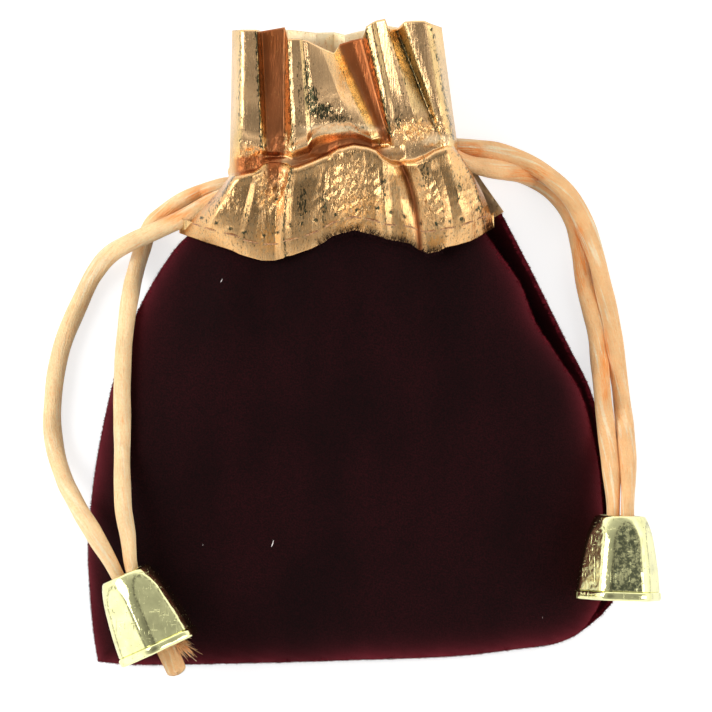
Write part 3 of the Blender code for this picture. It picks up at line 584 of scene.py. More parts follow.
cord_left = cord_tube("satin_cord_left", left_line, 0.6, 0.03, 0.0)
cord_right = cord_tube("satin_cord_right", right_line, 2.3, 0.10, 1.0)
print("each cord has", len(cord_left.data.polygons), "faces")

# %% [markdown]
# Finishes are node networks. A few small helpers keep them short: one adds a node with its
# settings, and the two groups after it are effects that several finishes share. The first
# drifts a value slowly over the surface, because no cloth or metal is one flat colour. The
# second draws fine yarns that run along one direction, broken up by noise.

# %% Node helpers and shared effects


def add(tree, kind, settings=None, **inputs):
    """Adds a shader node; an input is a value, or another node's socket to link."""
    node = tree.nodes.new("ShaderNode" + kind)
    for key, value in (settings or {}).items():
        setattr(node, key, value)
    for key, value in inputs.items():
        socket = node.inputs[int(key[1:])] if key[1:].isdigit() else node.inputs[key.replace("_", " ")]
        if isinstance(value, bpy.types.NodeSocket):
            tree.links.new(value, socket)
        else:
            socket.default_value = value
    return node


def calc(tree, operation, a, b=0.0, clamp=False):
    return add(tree, "Math", {"operation": operation, "use_clamp": clamp}, i0=a, i1=b).outputs[0]


def mix(tree, factor, a, b, blend="MIX"):
    settings = {"data_type": "RGBA", "blend_type": blend}
    node = add(tree, "Mix", settings)
    for index, value in ((0, factor), (6, a), (7, b)):
        if isinstance(value, bpy.types.NodeSocket):
            tree.links.new(value, node.inputs[index])
        elif index == 0:
            node.inputs[0].default_value = value
        else:
            node.inputs[index].default_value = (*value, 1)
    return node.outputs[2]


def value_of(tree, attribute):
    return add(tree, "Attribute", {"attribute_name": attribute}).outputs["Fac"]


def between(tree, value, low, high):
    """0 below low, 1 above high, smooth in between."""
    node = add(tree, "MapRange", {"interpolation_type": "SMOOTHSTEP"}, Value=value)
    node.inputs["From Min"].default_value = low
    node.inputs["From Max"].default_value = high
    return node.outputs["Result"]


def noise(tree, vector, scale, detail=3.0, roughness=0.6):
    return add(tree, "TexNoise", Vector=vector, Scale=scale, Detail=detail,
               Roughness=roughness).outputs["Fac"]


def stretched(tree, vector, scale):
    """The same place, with each direction in its own scale."""
    return add(tree, "VectorMath", {"operation": "MULTIPLY"}, i0=vector, i1=scale).outputs[0]


def new_group(name, inputs, outputs):
    tree = bpy.data.node_groups.new(name, "ShaderNodeTree")
    for title, kind, value in inputs:
        socket = tree.interface.new_socket(title, in_out="INPUT", socket_type=kind)
        if value is not None:
            socket.default_value = value
    for title, kind in outputs:
        tree.interface.new_socket(title, in_out="OUTPUT", socket_type=kind)
    return tree, tree.nodes.new("NodeGroupInput").outputs, tree.nodes.new("NodeGroupOutput").inputs


def place_group(tree, group, **inputs):
    node = tree.nodes.new("ShaderNodeGroup")
    node.node_tree = group
    for key, value in inputs.items():
        socket = node.inputs[key.replace("_", " ")]
        if isinstance(value, bpy.types.NodeSocket):
            tree.links.new(value, socket)
        else:
            socket.default_value = value
    return node.outputs


drift, given, result = new_group(
    "slow_drift",
    [("Vector", "NodeSocketVector", None), ("Scale", "NodeSocketFloat", 80.0),
     ("Low", "NodeSocketFloat", 0.8), ("High", "NodeSocketFloat", 1.2)],
    [("Factor", "NodeSocketFloat")])
wave = noise(drift, given["Vector"], given["Scale"], 2.0, 0.5)
wave = between(drift, wave, 0.3, 0.7)
span = calc(drift, "SUBTRACT", given["High"], given["Low"])
drift.links.new(calc(drift, "ADD", calc(drift, "MULTIPLY", wave, span), given["Low"]), result[0])

yarns, given, result = new_group(
    "fine_yarns",
    [("Vector", "NodeSocketVector", None), ("Stretch", "NodeSocketVector", (4000, 600, 600)),
     ("Break", "NodeSocketFloat", 0.55)],
    [("Height", "NodeSocketFloat"), ("Gap", "NodeSocketFloat")])
lines = stretched(yarns, given["Vector"], given["Stretch"])
threads = noise(yarns, lines, 1.0, 4.0, 0.7)
yarns.links.new(threads, result["Height"])
yarns.links.new(calc(yarns, "GREATER_THAN", threads, given["Break"]), result["Gap"])


def new_material(name, metallic, roughness, **settings):
    material = bpy.data.materials.new(name)
    material.use_nodes = True
    tree = material.node_tree
    surface = tree.nodes["Principled BSDF"]
    surface.inputs["Metallic"].default_value = metallic
    surface.inputs["Roughness"].default_value = roughness
    for key, value in settings.items():
        surface.inputs[key.replace("_", " ")].default_value = value
    return material, tree, surface.inputs


def object_place(tree):
    return add(tree, "TexCoord").outputs["Object"]


print("two shared effects:", drift.name, "and", yarns.name)

# %% [markdown]
# Foil cloth is a woven lamé: a warm thread ground that carries flat metal yarns. It mirrors
# its surroundings like beaten gold, so its flat places look grey-brown under a dim sky, its
# steep places cream, and its narrow valleys burnt orange, where gold mirrors gold. Part of
# that light is painted into the colour: a painted olive reflection on steep facets, burnt
# orange painted shade and reflection in the valleys, painted orange bounce and painted pale
# cream highlights in patches, and painted shade on the lower casing. Dark specks of painted
# shade follow the folds and the shaded patches, and the burnt orange follows "valley".

# %% Foil cloth
FOIL_GOLD = (0.92, 0.58, 0.29)
FOIL_STEEP_PAINTED_REFLECTION = (0.78, 0.53, 0.235)
FOIL_VALLEY_SHADE_AND_BOUNCE = (0.36, 0.092, 0.024)
FOIL_PAINTED_BOUNCE = (0.86, 0.40, 0.11)
FOIL_PAINTED_DIM = (0.66, 0.42, 0.20)
FOIL_GROUND = (0.80, 0.40, 0.14)
FOIL_SHADE = (0.085, 0.080, 0.040)
FOIL_PAINTED_CREAM = (1.0, 0.86, 0.56)

foil, tree, finish = new_material("foil_cloth", 1.0, 0.27)
here = object_place(tree)
tilt = value_of(tree, "tilt")
valley = value_of(tree, "valley")
painted_crease_shade = value_of(tree, "painted_crease_shade")
crumple = value_of(tree, "crumple")
slow = place_group(tree, drift, Vector=here, Scale=260.0, Low=0.86, High=1.08)["Factor"]
thread = place_group(tree, yarns, Vector=here, Stretch=(3800.0, 520.0, 520.0), Break=0.57)
speck = place_group(tree, yarns, Vector=here, Stretch=(5200.0, 1700.0, 2400.0), Break=0.5)
fleck = noise(tree, stretched(tree, here, (2600, 1500, 1500)), 1.0, 4.0, 0.75)
# Steep facets take a painted olive reflection, by their tilt.
colour = mix(tree, between(tree, tilt, 0.25, 0.6), FOIL_GOLD, FOIL_STEEP_PAINTED_REFLECTION)
# The lower casing is painted dimmer: painted shade.
colour = mix(tree, value_of(tree, "dull"), colour, FOIL_PAINTED_DIM)
# Painted orange bounce of gold on gold, in broken flecks.
glow = value_of(tree, "warm")
colour = mix(tree, calc(tree, "MULTIPLY", glow, between(tree, fleck, 0.62, 0.46)), colour, FOIL_PAINTED_BOUNCE)
# Valleys: burnt orange painted shade and painted reflection of gold on gold.
colour = mix(tree, valley, colour, FOIL_VALLEY_SHADE_AND_BOUNCE)
# Dark specks of painted shade along the folds and in the shaded patches, with random dark dots.
specks_and_painted_shade = calc(tree, "ADD", speck["Height"], calc(tree, "MULTIPLY", painted_crease_shade, 0.26))
specks_and_painted_shade = between(tree, specks_and_painted_shade, 0.62, 0.70)
dots = calc(tree, "MULTIPLY", between(tree, fleck, 0.63, 0.71), 0.6)
open_cloth = calc(tree, "SUBTRACT", 1.0, calc(tree, "MULTIPLY", valley, 0.8))
specks_and_painted_shade = calc(tree, "MULTIPLY", calc(tree, "MAXIMUM", specks_and_painted_shade, dots), open_cloth)
colour = mix(tree, specks_and_painted_shade, colour, FOIL_SHADE)
ground = calc(tree, "SUBTRACT", 1.0, between(tree, fleck, 0.30, 0.42))
colour = mix(tree, calc(tree, "MULTIPLY", ground, 0.5), colour, FOIL_GROUND)
# Painted pale light: a duller cream that stands for bright sky mirrored where the foil lies in shade.
painted_pale_light = calc(tree, "MULTIPLY", value_of(tree, "painted_pale_light"), between(tree, fleck, 0.68, 0.50))
painted_cream = mix(tree, calc(tree, "MULTIPLY", glow, 0.45), FOIL_PAINTED_CREAM, FOIL_PAINTED_BOUNCE)
colour = mix(tree, painted_pale_light, colour, painted_cream)
scale = add(tree, "VectorMath", {"operation": "SCALE"}, i0=colour, Scale=slow).outputs[0]
tree.links.new(scale, finish["Base Color"])
rough = calc(tree, "ADD", calc(tree, "MULTIPLY", thread["Height"], 0.20), 0.15)
rough = calc(tree, "ADD", rough, calc(tree, "MULTIPLY", valley, 0.15))
tree.links.new(calc(tree, "ADD", rough, calc(tree, "MULTIPLY", painted_pale_light, 0.3)), finish["Roughness"])
tree.links.new(calc(tree, "SUBTRACT", 1.0, calc(tree, "MULTIPLY", painted_pale_light, 0.85)), finish["Metallic"])
crinkle = noise(tree, stretched(tree, here, (1500, 900, 900)), 1.0, 3.0, 0.65)
crushed = calc(tree, "ADD", calc(tree, "MULTIPLY", crumple, 1.2), 0.05)
crinkle = calc(tree, "MULTIPLY", crinkle, crushed)
bump = add(tree, "Bump", Strength=0.45, Distance=0.00012, Height=thread["Height"])
bump = add(tree, "Bump", Strength=0.6, Distance=0.0006, Height=crinkle, Normal=bump.outputs[0])
tree.links.new(bump.outputs[0], finish["Normal"])
print("foil cloth is ready")

# %% [markdown]
# Velvet is a dense pile of fine fibres. Seen from above it swallows light and is nearly
# black; where the cloth turns away, the fibres' sides catch light and it glows wine red.
# Close to the seams that wine red glow is also painted into the colour.
# Pile that leans one way or another leaves slow, cloudy streaks.

# %% Velvet
PILE_DARK = (0.005, 0.0008, 0.0010)
PILE_LIGHT = (0.019, 0.0020, 0.0030)
PILE_PAINTED_RIM_GLOW = (0.13, 0.013, 0.020)

velvet, tree, finish = new_material(
    "velvet", 0.0, 0.9, Sheen_Weight=0.38, Sheen_Roughness=0.30, Sheen_Tint=(0.50, 0.045, 0.06, 1),
    Specular_IOR_Level=0.1)
here = object_place(tree)
lean = place_group(tree, drift, Vector=stretched(tree, here, (1.0, 0.55, 1.0)), Scale=95.0,
                   Low=0.72, High=1.35)["Factor"]
pile = noise(tree, here, 4200.0, 2.0, 0.7)
edge = value_of(tree, "edge")
colour = mix(tree, between(tree, pile, 0.3, 0.75), PILE_DARK, PILE_LIGHT)
# Painted rim glow near the seams.
colour = mix(tree, edge, colour, PILE_PAINTED_RIM_GLOW)
scale = add(tree, "VectorMath", {"operation": "SCALE"}, i0=colour, Scale=lean).outputs[0]
tree.links.new(scale, finish["Base Color"])
bump = add(tree, "Bump", Strength=0.5, Distance=0.00022, Height=pile)
tree.links.new(bump.outputs[0], finish["Normal"])
print("velvet is ready")

# The fibres are a lighter wine red than the pile: painted glow of the rim.
fibre, tree, finish = new_material("pile_fibre", 0.0, 0.9, Specular_IOR_Level=0.0)
tone = noise(tree, object_place(tree), 900.0, 2.0, 0.6)
colour = mix(tree, between(tree, tone, 0.3, 0.7), (0.060, 0.0050, 0.0080), (0.20, 0.016, 0.026))
tree.links.new(colour, finish["Base Color"])

# %% [markdown]
# Satin cord: fine silky strands laid side by side. The orange in the grooves between them is
# painted shade and painted glow of light bounced between strands. "around" and "along" come
# from the tube, so the strands keep to the cord wherever it turns.

# %% Satin cord
CORD_LIGHT = (1.0, 0.72, 0.38)
CORD_ORANGE = (1.0, 0.60, 0.27)
CORD_PAINTED_GROOVE_SHADE = (1.0, 0.40, 0.12)
CORD_PALE = (1.0, 0.82, 0.52)
CORD_PAINTED_GLOW = (1.0, 0.34, 0.07)

satin, tree, finish = new_material("satin_cord", 0.0, 0.42, Sheen_Weight=0.12, Sheen_Roughness=0.4,
                                   Sheen_Tint=(1.0, 0.80, 0.55, 1), Specular_IOR_Level=0.35)
around = value_of(tree, "around")
along = value_of(tree, "along")
turned = calc(tree, "ADD", calc(tree, "MULTIPLY", around, 2 * pi), calc(tree, "MULTIPLY", along, 0.07))


def round_the_cord(stretch):
    """A place on the unrolled tube, with the length along the cord scaled."""
    return add(tree, "CombineXYZ", X=calc(tree, "COSINE", turned), Y=calc(tree, "SINE", turned),
               Z=calc(tree, "MULTIPLY", along, stretch)).outputs[0]


ring = round_the_cord(0.05)
weave = round_the_cord(0.5)
strand = noise(tree, ring, 9.0, 3.0, 0.65)
broad = noise(tree, ring, 2.2, 2.0, 0.5)
tone = value_of(tree, "tone")
colour = mix(tree, calc(tree, "MINIMUM", tone, 1.0), CORD_LIGHT, CORD_ORANGE)
# Painted shade in the grooves between strands.
colour = mix(tree, between(tree, strand, 0.26, 0.44), CORD_PAINTED_GROOVE_SHADE, colour)
colour = mix(tree, between(tree, broad, 0.52, 0.68), colour, CORD_PALE)
scales = add(tree, "TexVoronoi", {"feature": "F1"}, Vector=weave, Scale=5.0, Randomness=0.8)
scales = scales.outputs["Distance"]
# Painted shade in the gaps between the weave's small scales.
colour = mix(tree, calc(tree, "MULTIPLY", between(tree, scales, 0.2, 0.9), 0.25), colour, CORD_PAINTED_GROOVE_SHADE)
# Painted glow: where the tone runs above 1, the grooves turn a glowing orange.
glow = calc(tree, "MULTIPLY", between(tree, tone, 1.0, 3.0), between(tree, strand, 0.62, 0.40))
colour = mix(tree, glow, colour, CORD_PAINTED_GLOW)
slow = place_group(tree, drift, Vector=object_place(tree), Scale=300.0, Low=0.93, High=1.05)["Factor"]
scale = add(tree, "VectorMath", {"operation": "SCALE"}, i0=colour, Scale=slow).outputs[0]
tree.links.new(scale, finish["Base Color"])
bump = add(tree, "Bump", Strength=0.7, Distance=0.00025, Height=strand)
bump = add(tree, "Bump", Strength=0.35, Distance=0.0002, Height=calc(tree, "SUBTRACT", 1.0, scales),
           Normal=bump.outputs[0])
tree.links.new(bump.outputs[0], finish["Normal"])
print("satin cord is ready")

# %% [markdown]
# The bells are thin moulded shells with a bright, slightly green gold plating. Handling has
# left fine scratches in all directions and a scatter of pits, and the plating mirrors the
# surroundings in broad soft bands.

# %% Gold plate
PLATE = (0.84, 0.82, 0.42)
PLATE_SCRATCH = (0.50, 0.48, 0.22)
PLATE_WORN = (0.19, 0.20, 0.11)
PLATE_PIT = (0.13, 0.12, 0.06)

plate, tree, finish = new_material("gold_plate", 1.0, 0.14)
here = object_place(tree)
slow = place_group(tree, drift, Vector=here, Scale=420.0, Low=0.84, High=1.08)["Factor"]
scratch = noise(tree, stretched(tree, here, (5200, 420, 900)), 1.0, 2.0, 0.5)
cross = noise(tree, stretched(tree, here, (500, 4300, 900)), 1.0, 2.0, 0.5)
pit = noise(tree, here, 2600.0, 2.0, 0.6)
pitted = between(tree, pit, 0.68, 0.74)
arch = calc(tree, "MULTIPLY", value_of(tree, "arch"), between(tree, pit, 0.34, 0.56))
arch = calc(tree, "MULTIPLY", arch, 0.75)
worn = value_of(tree, "worn")
rubbed = noise(tree, here, 1500.0, 3.0, 0.7)
marks = calc(tree, "MAXIMUM", between(tree, scratch, 0.66, 0.72), between(tree, cross, 0.67, 0.73))
colour = mix(tree, marks, PLATE, PLATE_SCRATCH)
rubbed = calc(tree, "MULTIPLY", worn, between(tree, rubbed, 0.64, 0.42))
colour = mix(tree, rubbed, colour, PLATE_WORN)
colour = mix(tree, calc(tree, "MAXIMUM", pitted, arch), colour, PLATE_PIT)
scale = add(tree, "VectorMath", {"operation": "SCALE"}, i0=colour, Scale=slow).outputs[0]
tree.links.new(scale, finish["Base Color"])
rough = calc(tree, "ADD", calc(tree, "MULTIPLY", marks, 0.25), 0.11)
tree.links.new(rough, finish["Roughness"])
soft = noise(tree, here, 480.0, 2.0, 0.5)
bump = add(tree, "Bump", Strength=0.12, Distance=0.0006, Height=soft)
bump = add(tree, "Bump", Strength=0.35, Distance=0.00006, Height=calc(tree, "MAXIMUM", marks, pitted),
           Normal=bump.outputs[0])
bump.invert = True
tree.links.new(bump.outputs[0], finish["Normal"])
print("gold plate is ready")

# %% [markdown]
# The velvet body: two panels, seamed along the sides and the bottom. A patch between the four
# edges of a panel gives an even cloth grid. The front panel swells up to the collar, and the
# gathers of the collar carry on into it as soft folds that fade out within a few centimetres.

# %% Velvet panels
FOLDS = [(-17.5, -20.5, 0.9, 2.6), (-12.0, -13.5, -0.7, 2.2), (-5.5, -6.5, 0.7, 3.0),
         (1.5, 1.0, -0.5, 3.0), (7.5, 8.5, 0.6, 2.6), (11.5, 14.5, -0.8, 2.0), (16.0, 20.0, 0.9, 2.2)]


def panel_grid(seams, columns, rows):
    """x and y over a panel, closer together near the seams."""
    hem = np.linspace(0, 1, 61)
    top_x = seams.left[-1][0] * (1 - hem) + seams.right[-1][0] * hem
    top = np.stack([top_x, np.interp(top_x, HEM_X, HEM_Y) + 2.4], axis=1)

    def along(edge, share):
        at = share * (len(edge) - 1)
        index = np.arange(len(edge))
        return np.stack([np.interp(at, index, edge[:, 0]), np.interp(at, index, edge[:, 1])], -1)

    j = np.arange(rows + 1) / rows
    i = np.arange(columns + 1) / columns
    t = 0.35 * (1 - np.cos(pi / 2 * j)) + 0.65 * j
    s = 0.7 * (1 - np.cos(pi * i)) / 2 + 0.3 * i
    t, s = t[:, None, None], s[None, :, None]
    left, right = along(seams.left, t[:, :, 0]), along(seams.right, t[:, :, 0])
    low, high = along(seams.bottom, s[:, :, 0]), along(top, s[:, :, 0])
    corner = (1 - t) * ((1 - s) * seams.left[0] + s * seams.right[0])
    corner = corner + t * ((1 - s) * seams.left[-1] + s * seams.right[-1])
    grid = (1 - s) * left + s * right + (1 - t) * low + t * high - corner
    return grid[:, :, 0], grid[:, :, 1]


def ripple(x, y, seed):
    """Slow unevenness of hand-made cloth, in millimetres, about -1 to 1."""
    total = np.zeros(np.shape(x))
    rng = np.random.default_rng(seed)
    for size in (0.09, 0.15, 0.24, 0.36):
        for _ in range(3):
            angle, start = rng.uniform(0, 2 * pi, 2)
            total = total + np.sin(size * (x * cos(angle) + y * sin(angle)) + start) * 0.06 / size ** 0.5
    return total


def velvet_panel(name, seams, front, columns, rows):
    x, y = panel_grid(seams, columns, rows)
    depth = seams.depth(x, y).reshape(x.shape)
    if front:
        z = front_height(seams, x, y)
        fade = smooth_step(-16.0, 13.0, y) * np.clip(depth / 5.0, 0, 1)
        for hem_x, low_x, height, width in FOLDS:
            middle = low_x + (hem_x - low_x) * (y + 16.0) / 29.0
            z = z + height * 0.55 * fade * np.exp(-((x - middle) / width) ** 2)
        z = z + ripple(x, y, 4) * 0.8 * np.clip(depth / 6.0, 0, 1)
    else:
        z = back_height(seams, x, y) + ripple(x, y, 9) * 0.25 * np.clip(depth / 6.0, 0, 1)
        z = np.maximum(z, 0.0)
    pucker = 0.28 * np.sin(x * 2.1 + y * 2.6) * np.sin(y * 1.7 - x * 0.9)
    z = z + pucker * np.exp(-np.maximum(depth, 0) / 1.3)
    points = np.stack([x.ravel(), y.ravel(), z.ravel()], axis=1)
    # How near the seam a point is; the finish paints rim glow there.
    edge = np.exp(-np.maximum(depth.ravel(), 0) / 1.1)
    faces = grid_faces(columns, rows, flip=not front)
    return make_piece(name, points, faces, {"edge": edge}), points.reshape(rows + 1, columns + 1, 3)


velvet_front, front_points = velvet_panel("velvet_front", front_seams, True, 230, 260)
velvet_back, back_points = velvet_panel("velvet_back", back_seams, False, 200, 220)
for panel in (velvet_front, velvet_back):
    panel.data.materials.append(velvet)
print("front panel", len(velvet_front.data.polygons), "faces")

# %% [markdown]
# Along its seams the pile stands out past the edge as a fine fringe of fibres. Each fibre is
# one thin blade, 0.2 to 1 mm long, leaning at random.

# %% Pile fringe


def pile_fringe(name, line, count, seed, reach=0.3, width=0.035, rise=0.25, finish=fibre):
    """Blades along the left side of a line, from just inside it to past it."""
    rng = np.random.default_rng(seed)
    line = np.array(line)
    run = run_along(line[:, :2])
    points, faces = [], []
    for s in rng.uniform(0, run[-1], count):
        at, ahead, back = (place_on(line, run, spot)
                           for spot in (s, min(s + 0.4, run[-1]), max(s - 0.4, 0)))
        heading = (ahead - back) / max(np.linalg.norm(ahead - back), 1e-6)
        outward = np.array([-heading[1], heading[0], 0.0])
        lean = outward + heading * rng.normal(0, 0.45) + np.array([0, 0, rng.normal(rise, 0.5)])
        lean /= np.linalg.norm(lean)
        inside = rng.uniform(0.1, 0.7)
        root = at - outward * inside + np.array([0, 0, rng.normal(0, 0.25)])
        first = len(points)
        tip = root + lean * (inside + reach * rng.uniform(0.3, 1.2))
        points += [root - heading * width, root + heading * width, tip]
        faces.append((first, first + 1, first + 2))
    item = make_piece(name, points, faces)
    item.data.materials.append(finish)
    return item


def seam_line(panel_points):
    """The panel's edge from the top right, round the bottom, to the top left."""
    left, bottom, right = panel_points[::-1, 0], panel_points[0], panel_points[:, -1]
    return [*left, *bottom[1:], *right[1:]][::-1]


fringe_front = pile_fringe("pile_fringe_front", seam_line(front_points), 9000, 21)
fringe_back = pile_fringe("pile_fringe_back", seam_line(back_points), 8000, 22)
print("fringe fibres", len(fringe_front.data.polygons) + len(fringe_back.data.polygons))

# %% [markdown]
# The collar is a doubled band of foil cloth. Its shape follows its pleat lines: each line has
# a place at the hem, half way up, at the rim of the casing, at the foot of the frill and at
# the mouth, read from the picture in pixels, with the height of the cloth there as a share of
# the pleat height: 0 in a valley and 1 on a ridge. Between lines the cloth is nearly flat,
# because foil creases rather than curves.

# %% Pleat lines of the collar, in picture places
LOWER = [  # hem, half way, rim: x, y, height share
    ((179, 233, 0), (206, 205, 0), (229, 178, 0)),
    ((198, 240, .75), (216, 208, .8), (234, 177, .7)),
    ((203, 242, .8), (220, 209, .85), (238, 177, .75)),
    ((232, 251, .75), (244, 212, .75), (254, 173, .7)),
    ((240, 255, .5), (250, 214, .5), (259, 170, .5)),
    ((250, 258, .65), (258, 215, .5), (263, 166, .35)),
    ((262, 261, .35), (267, 215, .35), (270, 163, .05)),
    ((275, 261, .5), (276, 215, .4), (280, 163, .05)),
    ((283, 259, .8), (281, 216, .75), (288, 165, .5)),
    ((286, 257, .95), (285, 214, 1), (292, 169, .9)),
    ((292, 256, .8), (292, 213, .85), (298, 168, .85)),
    ((312, 249, .75), (312, 208, .75), (316, 161, .85)),
    ((324, 243, .6), (323, 203, .65), (328, 156, .8)),
    ((334, 236, .75), (334, 198, .75), (338, 150, .85)),
    ((354, 231, .8), (354, 192, .85), (354, 146, .95)),
    ((376, 236, .7), (374, 195, .75), (368, 148, .9)),
    ((382, 238, .9), (381, 198, .95), (376, 151, .9)),
    ((387, 240, .95), (384, 200, 1), (382, 157, .85)),
    ((393, 241, .7), (390, 200, .75), (387, 160, .7)),
    ((406, 243, .6), (401, 200, .6), (392, 163, .5)),
    ((413, 246, .35), (408, 200, .35), (396, 163, .25)),
    ((420, 251, .05), (413, 200, .05), (400, 163, .05)),
    ((427, 254, .4), (419, 201, .35), (404, 163, .3)),
    ((438, 252, .7), (431, 201, .75), (414, 163, .75)),
    ((446, 248, .85), (441, 200, .9), (425, 158, .85)),
    ((456, 246, .6), (448, 198, .7), (434, 152, .8)),
    ((470, 242, .7), (458, 195, .75), (446, 148, .75)),
    ((478, 238, .45), (468, 192, .5), (452, 148, .5)),
    ((484, 234, .55), (476, 190, .5), (455, 149, .35)),
    ((494, 228, 0), (482, 192, 0), (458, 152, 0)),
]
UPPER = [  # mouth, foot of the frill: x, y, height share
    ((232, 33, 0), (230, 150, 0)),
    ((241, 33, .85), (240, 143, .75)),
    ((244, 33, .9), (243, 142, .8)),
    ((257, 33, .88), (262, 148, .7)),
    ((262, 34, .05), (268, 152, .1)),
    ((285, 30, .1), (284, 152, .1)),
    ((288, 42, .95), (293, 150, .9)),
    ((292, 42, 1), (297, 150, .95)),
    ((300, 42, .97), (308, 146, .85)),
    ((303, 43, .85), (312, 140, .7)),
    ((308, 44, .9), (318, 136, .75)),
    ((322, 51, .72), (352, 131, .8)),
    ((334, 56, .5), (372, 140, .6)),
    ((340, 47, .1), (380, 138, .15)),
    ((352, 43, 0), (384, 140, .05)),
    ((362, 41, .08), (388, 140, .1)),
    ((366, 30, .85), (391, 138, .5)),
    ((372, 26, .95), (394, 137, .55)),
    ((376, 24, .8), (399, 137, .5)),
    ((385, 22, .98), (412, 137, .6)),
    ((388, 30, .9), (420, 138, .55)),
    ((392, 31, .5), (432, 140, .35)),
    ((397, 32, .25), (440, 140, .2)),
    ((404, 25, .8), (443, 139, .5)),
    ((414, 24, .9), (446, 138, .6)),
    ((424, 24, .95), (450, 138, .6)),
    ((431, 27, .9), (453, 140, .5)),
    ((442, 30, 0), (457, 142, 0)),
]
BACK = [  # hem, rim, foot of the frill, mouth of the back collar
    ((179, 233, 0), (228, 179, 0), (230, 152, 0), (233, 34, 0)),
    ((208, 241, .85), (243, 176, .8), (246, 150, .4), (250, 36, .9)),
    ((238, 247, .2), (262, 173, .2), (264, 148, .1), (270, 33, .15)),
    ((262, 247, .9), (279, 170, .9), (282, 146, .3), (288, 31, .9)),
    ((285, 247, .85), (297, 168, .8), (298, 144, .3), (302, 33, .8)),
    ((305, 246, .15), (314, 165, .15), (314, 142, 0), (316, 35, .1)),
    ((332, 244, .9), (338, 162, .9), (334, 140, .2), (334, 34, .95)),
    ((360, 243, .25), (361, 160, .2), (356, 140, 0), (345, 37, .2)),
    ((388, 243, .9), (386, 158, .9), (376, 140, .2), (362, 32, .9)),
    ((412, 242, .8), (406, 155, .85), (394, 140, .3), (388, 27, .8)),
    ((434, 240, .15), (422, 152, .15), (410, 140, 0), (402, 30, .1)),
    ((458, 233, .9), (440, 150, .9), (426, 140, .4), (416, 28, .9)),
    ((482, 224, .7), (454, 149, .7), (441, 140, .3), (430, 30, .75)),
    ((504, 212, 0), (461, 150, 0), (457, 142, 0), (442, 31, 0)),
]
print(len(LOWER), "lines below the rim,", len(UPPER), "above it,", len(BACK), "behind")

# %% [markdown]
# The outer layer runs from the turned-under hem over the casing to its rolled rim, dips into
# the groove behind the rim, and rises again as the frill to the mouth. There it folds over
# and comes back down inside as the lining. The cords lie in the casing, so wherever the cloth
# would cut a cord it is lifted over it.

# %% Collar of foil cloth
PASSAGE_FLOOR = 4.75
FRONT_INNER = 9.5
FRONT_OUTER = 12.85
BACK_OUTER = 1.75
LOWER_PLEAT = 2.3
UPPER_PLEAT = 2.9
BACK_PLEAT = 1.5
CREASED = 0.30
SIDE_ROLL = 26
SIDE_WITHOUT_VALLEY = 0.035
FRILL_PUFF = 0.8
BACK_MOUTH_LIFT = 3.0
LINING_GATHERS = 12
LINING_ROWS = 40
LINING_NARROWER = 0.82
HEM_ROW = 3
LOWER_ROWS = 96
UPPER_ROWS = 104
BACK_ROWS = 120
BACK_LINING_ROWS = 30
# Along the way across the groove: share of the way, share of the groove's depth
GROOVE_SHAPE = ((0.02, 0.2), (0.05, 0.5), (0.09, 0.8), (0.14, 0.96), (0.22, 1.0), (0.32, 1.0),
                (0.42, 1.0), (0.52, 0.99), (0.60, 0.93), (0.67, 0.8), (0.74, 0.62), (0.81, 0.42),
                (0.88, 0.24), (0.95, 0.08))


def crinkled(x, y, seed, size):
    """Small sharp facets, as in crushed foil: folded waves in several directions."""
    rng = np.random.default_rng(seed)
    total = np.zeros(np.shape(x))
    for k in range(7):
        angle = rng.uniform(-0.9, 0.9) + (pi / 2 if k % 3 == 0 else 0)
        start, pitch = rng.uniform(0, 10), size * rng.uniform(0.6, 1.6)
        phase = (x * cos(angle) + y * sin(angle)) / pitch + start
        phase = phase + 0.35 * np.sin(y / (pitch * 1.7) + start * 2)
        total = total + (np.abs((phase % 1.0) - 0.5) * 2 - 0.5) * pitch / size
    return total / 7


# How open the groove behind the rim is, by picture place along the rim
GROOVE = [(229, 0.5), (240, 0.85), (264, 0.9), (272, 0.75), (286, 0.5), (294, 0.7), (306, 1.0),
          (368, 1.0), (380, 0.8), (388, 0.45), (398, 0.3), (406, 0.08), (458, 0.05)]
# Crushed patches of the cloth: middle in picture places, half width, half height, strength
CRUMPLED = [(272, 190, 15, 20, 1.0), (350, 192, 27, 36, 0.8), (436, 208, 12, 20, 0.9),
            (418, 132, 34, 13, 1.0), (252, 158, 20, 14, 0.9), (330, 108, 24, 16, 0.35),
            (284, 145, 14, 12, 0.8), (436, 141, 15, 8, 0.6), (338, 128, 34, 7, 0.5),
            (232, 205, 12, 26, 0.35), (470, 200, 12, 26, 0.4)]
# Dark broken shade where the foil mirrors nothing bright
SHADED = [(307, 78, 4, 24, 0.8), (312, 100, 8, 16, 1.0), (322, 112, 15, 9, 1.0), (338, 119, 16, 5, 0.8),
          (358, 128, 12, 4, 0.6), (381, 108, 3, 16, 0.7), (398, 120, 5, 14, 0.6), (300, 92, 3, 40, 0.5),
          (303, 205, 6, 20, 0.7), (324, 208, 5, 22, 0.6), (384, 185, 5, 26, 0.6), (424, 172, 6, 18, 0.6),
          (459, 190, 5, 16, 0.6), (212, 198, 6, 20, 0.5), (248, 215, 5, 20, 0.5), (339, 38, 4, 4, 1.0)]
# Painted reflection: patches where gold mirrors gold and the cloth looks orange
GOLD_BOUNCE_PATCHES = [(350, 226, 36, 9, 0.7), (268, 238, 14, 18, 0.9), (268, 195, 16, 24, 0.6),
        (362, 208, 30, 17, 0.7), (436, 243, 12, 9, 0.9), (405, 232, 9, 20, 0.6),
        (492, 210, 15, 22, 0.7), (415, 130, 34, 12, 0.6), (274, 42, 14, 12, 0.6),
        (344, 72, 8, 22, 0.9), (250, 160, 20, 14, 0.7), (397, 170, 10, 26, 0.6),
        (398, 34, 6, 10, 0.8)]
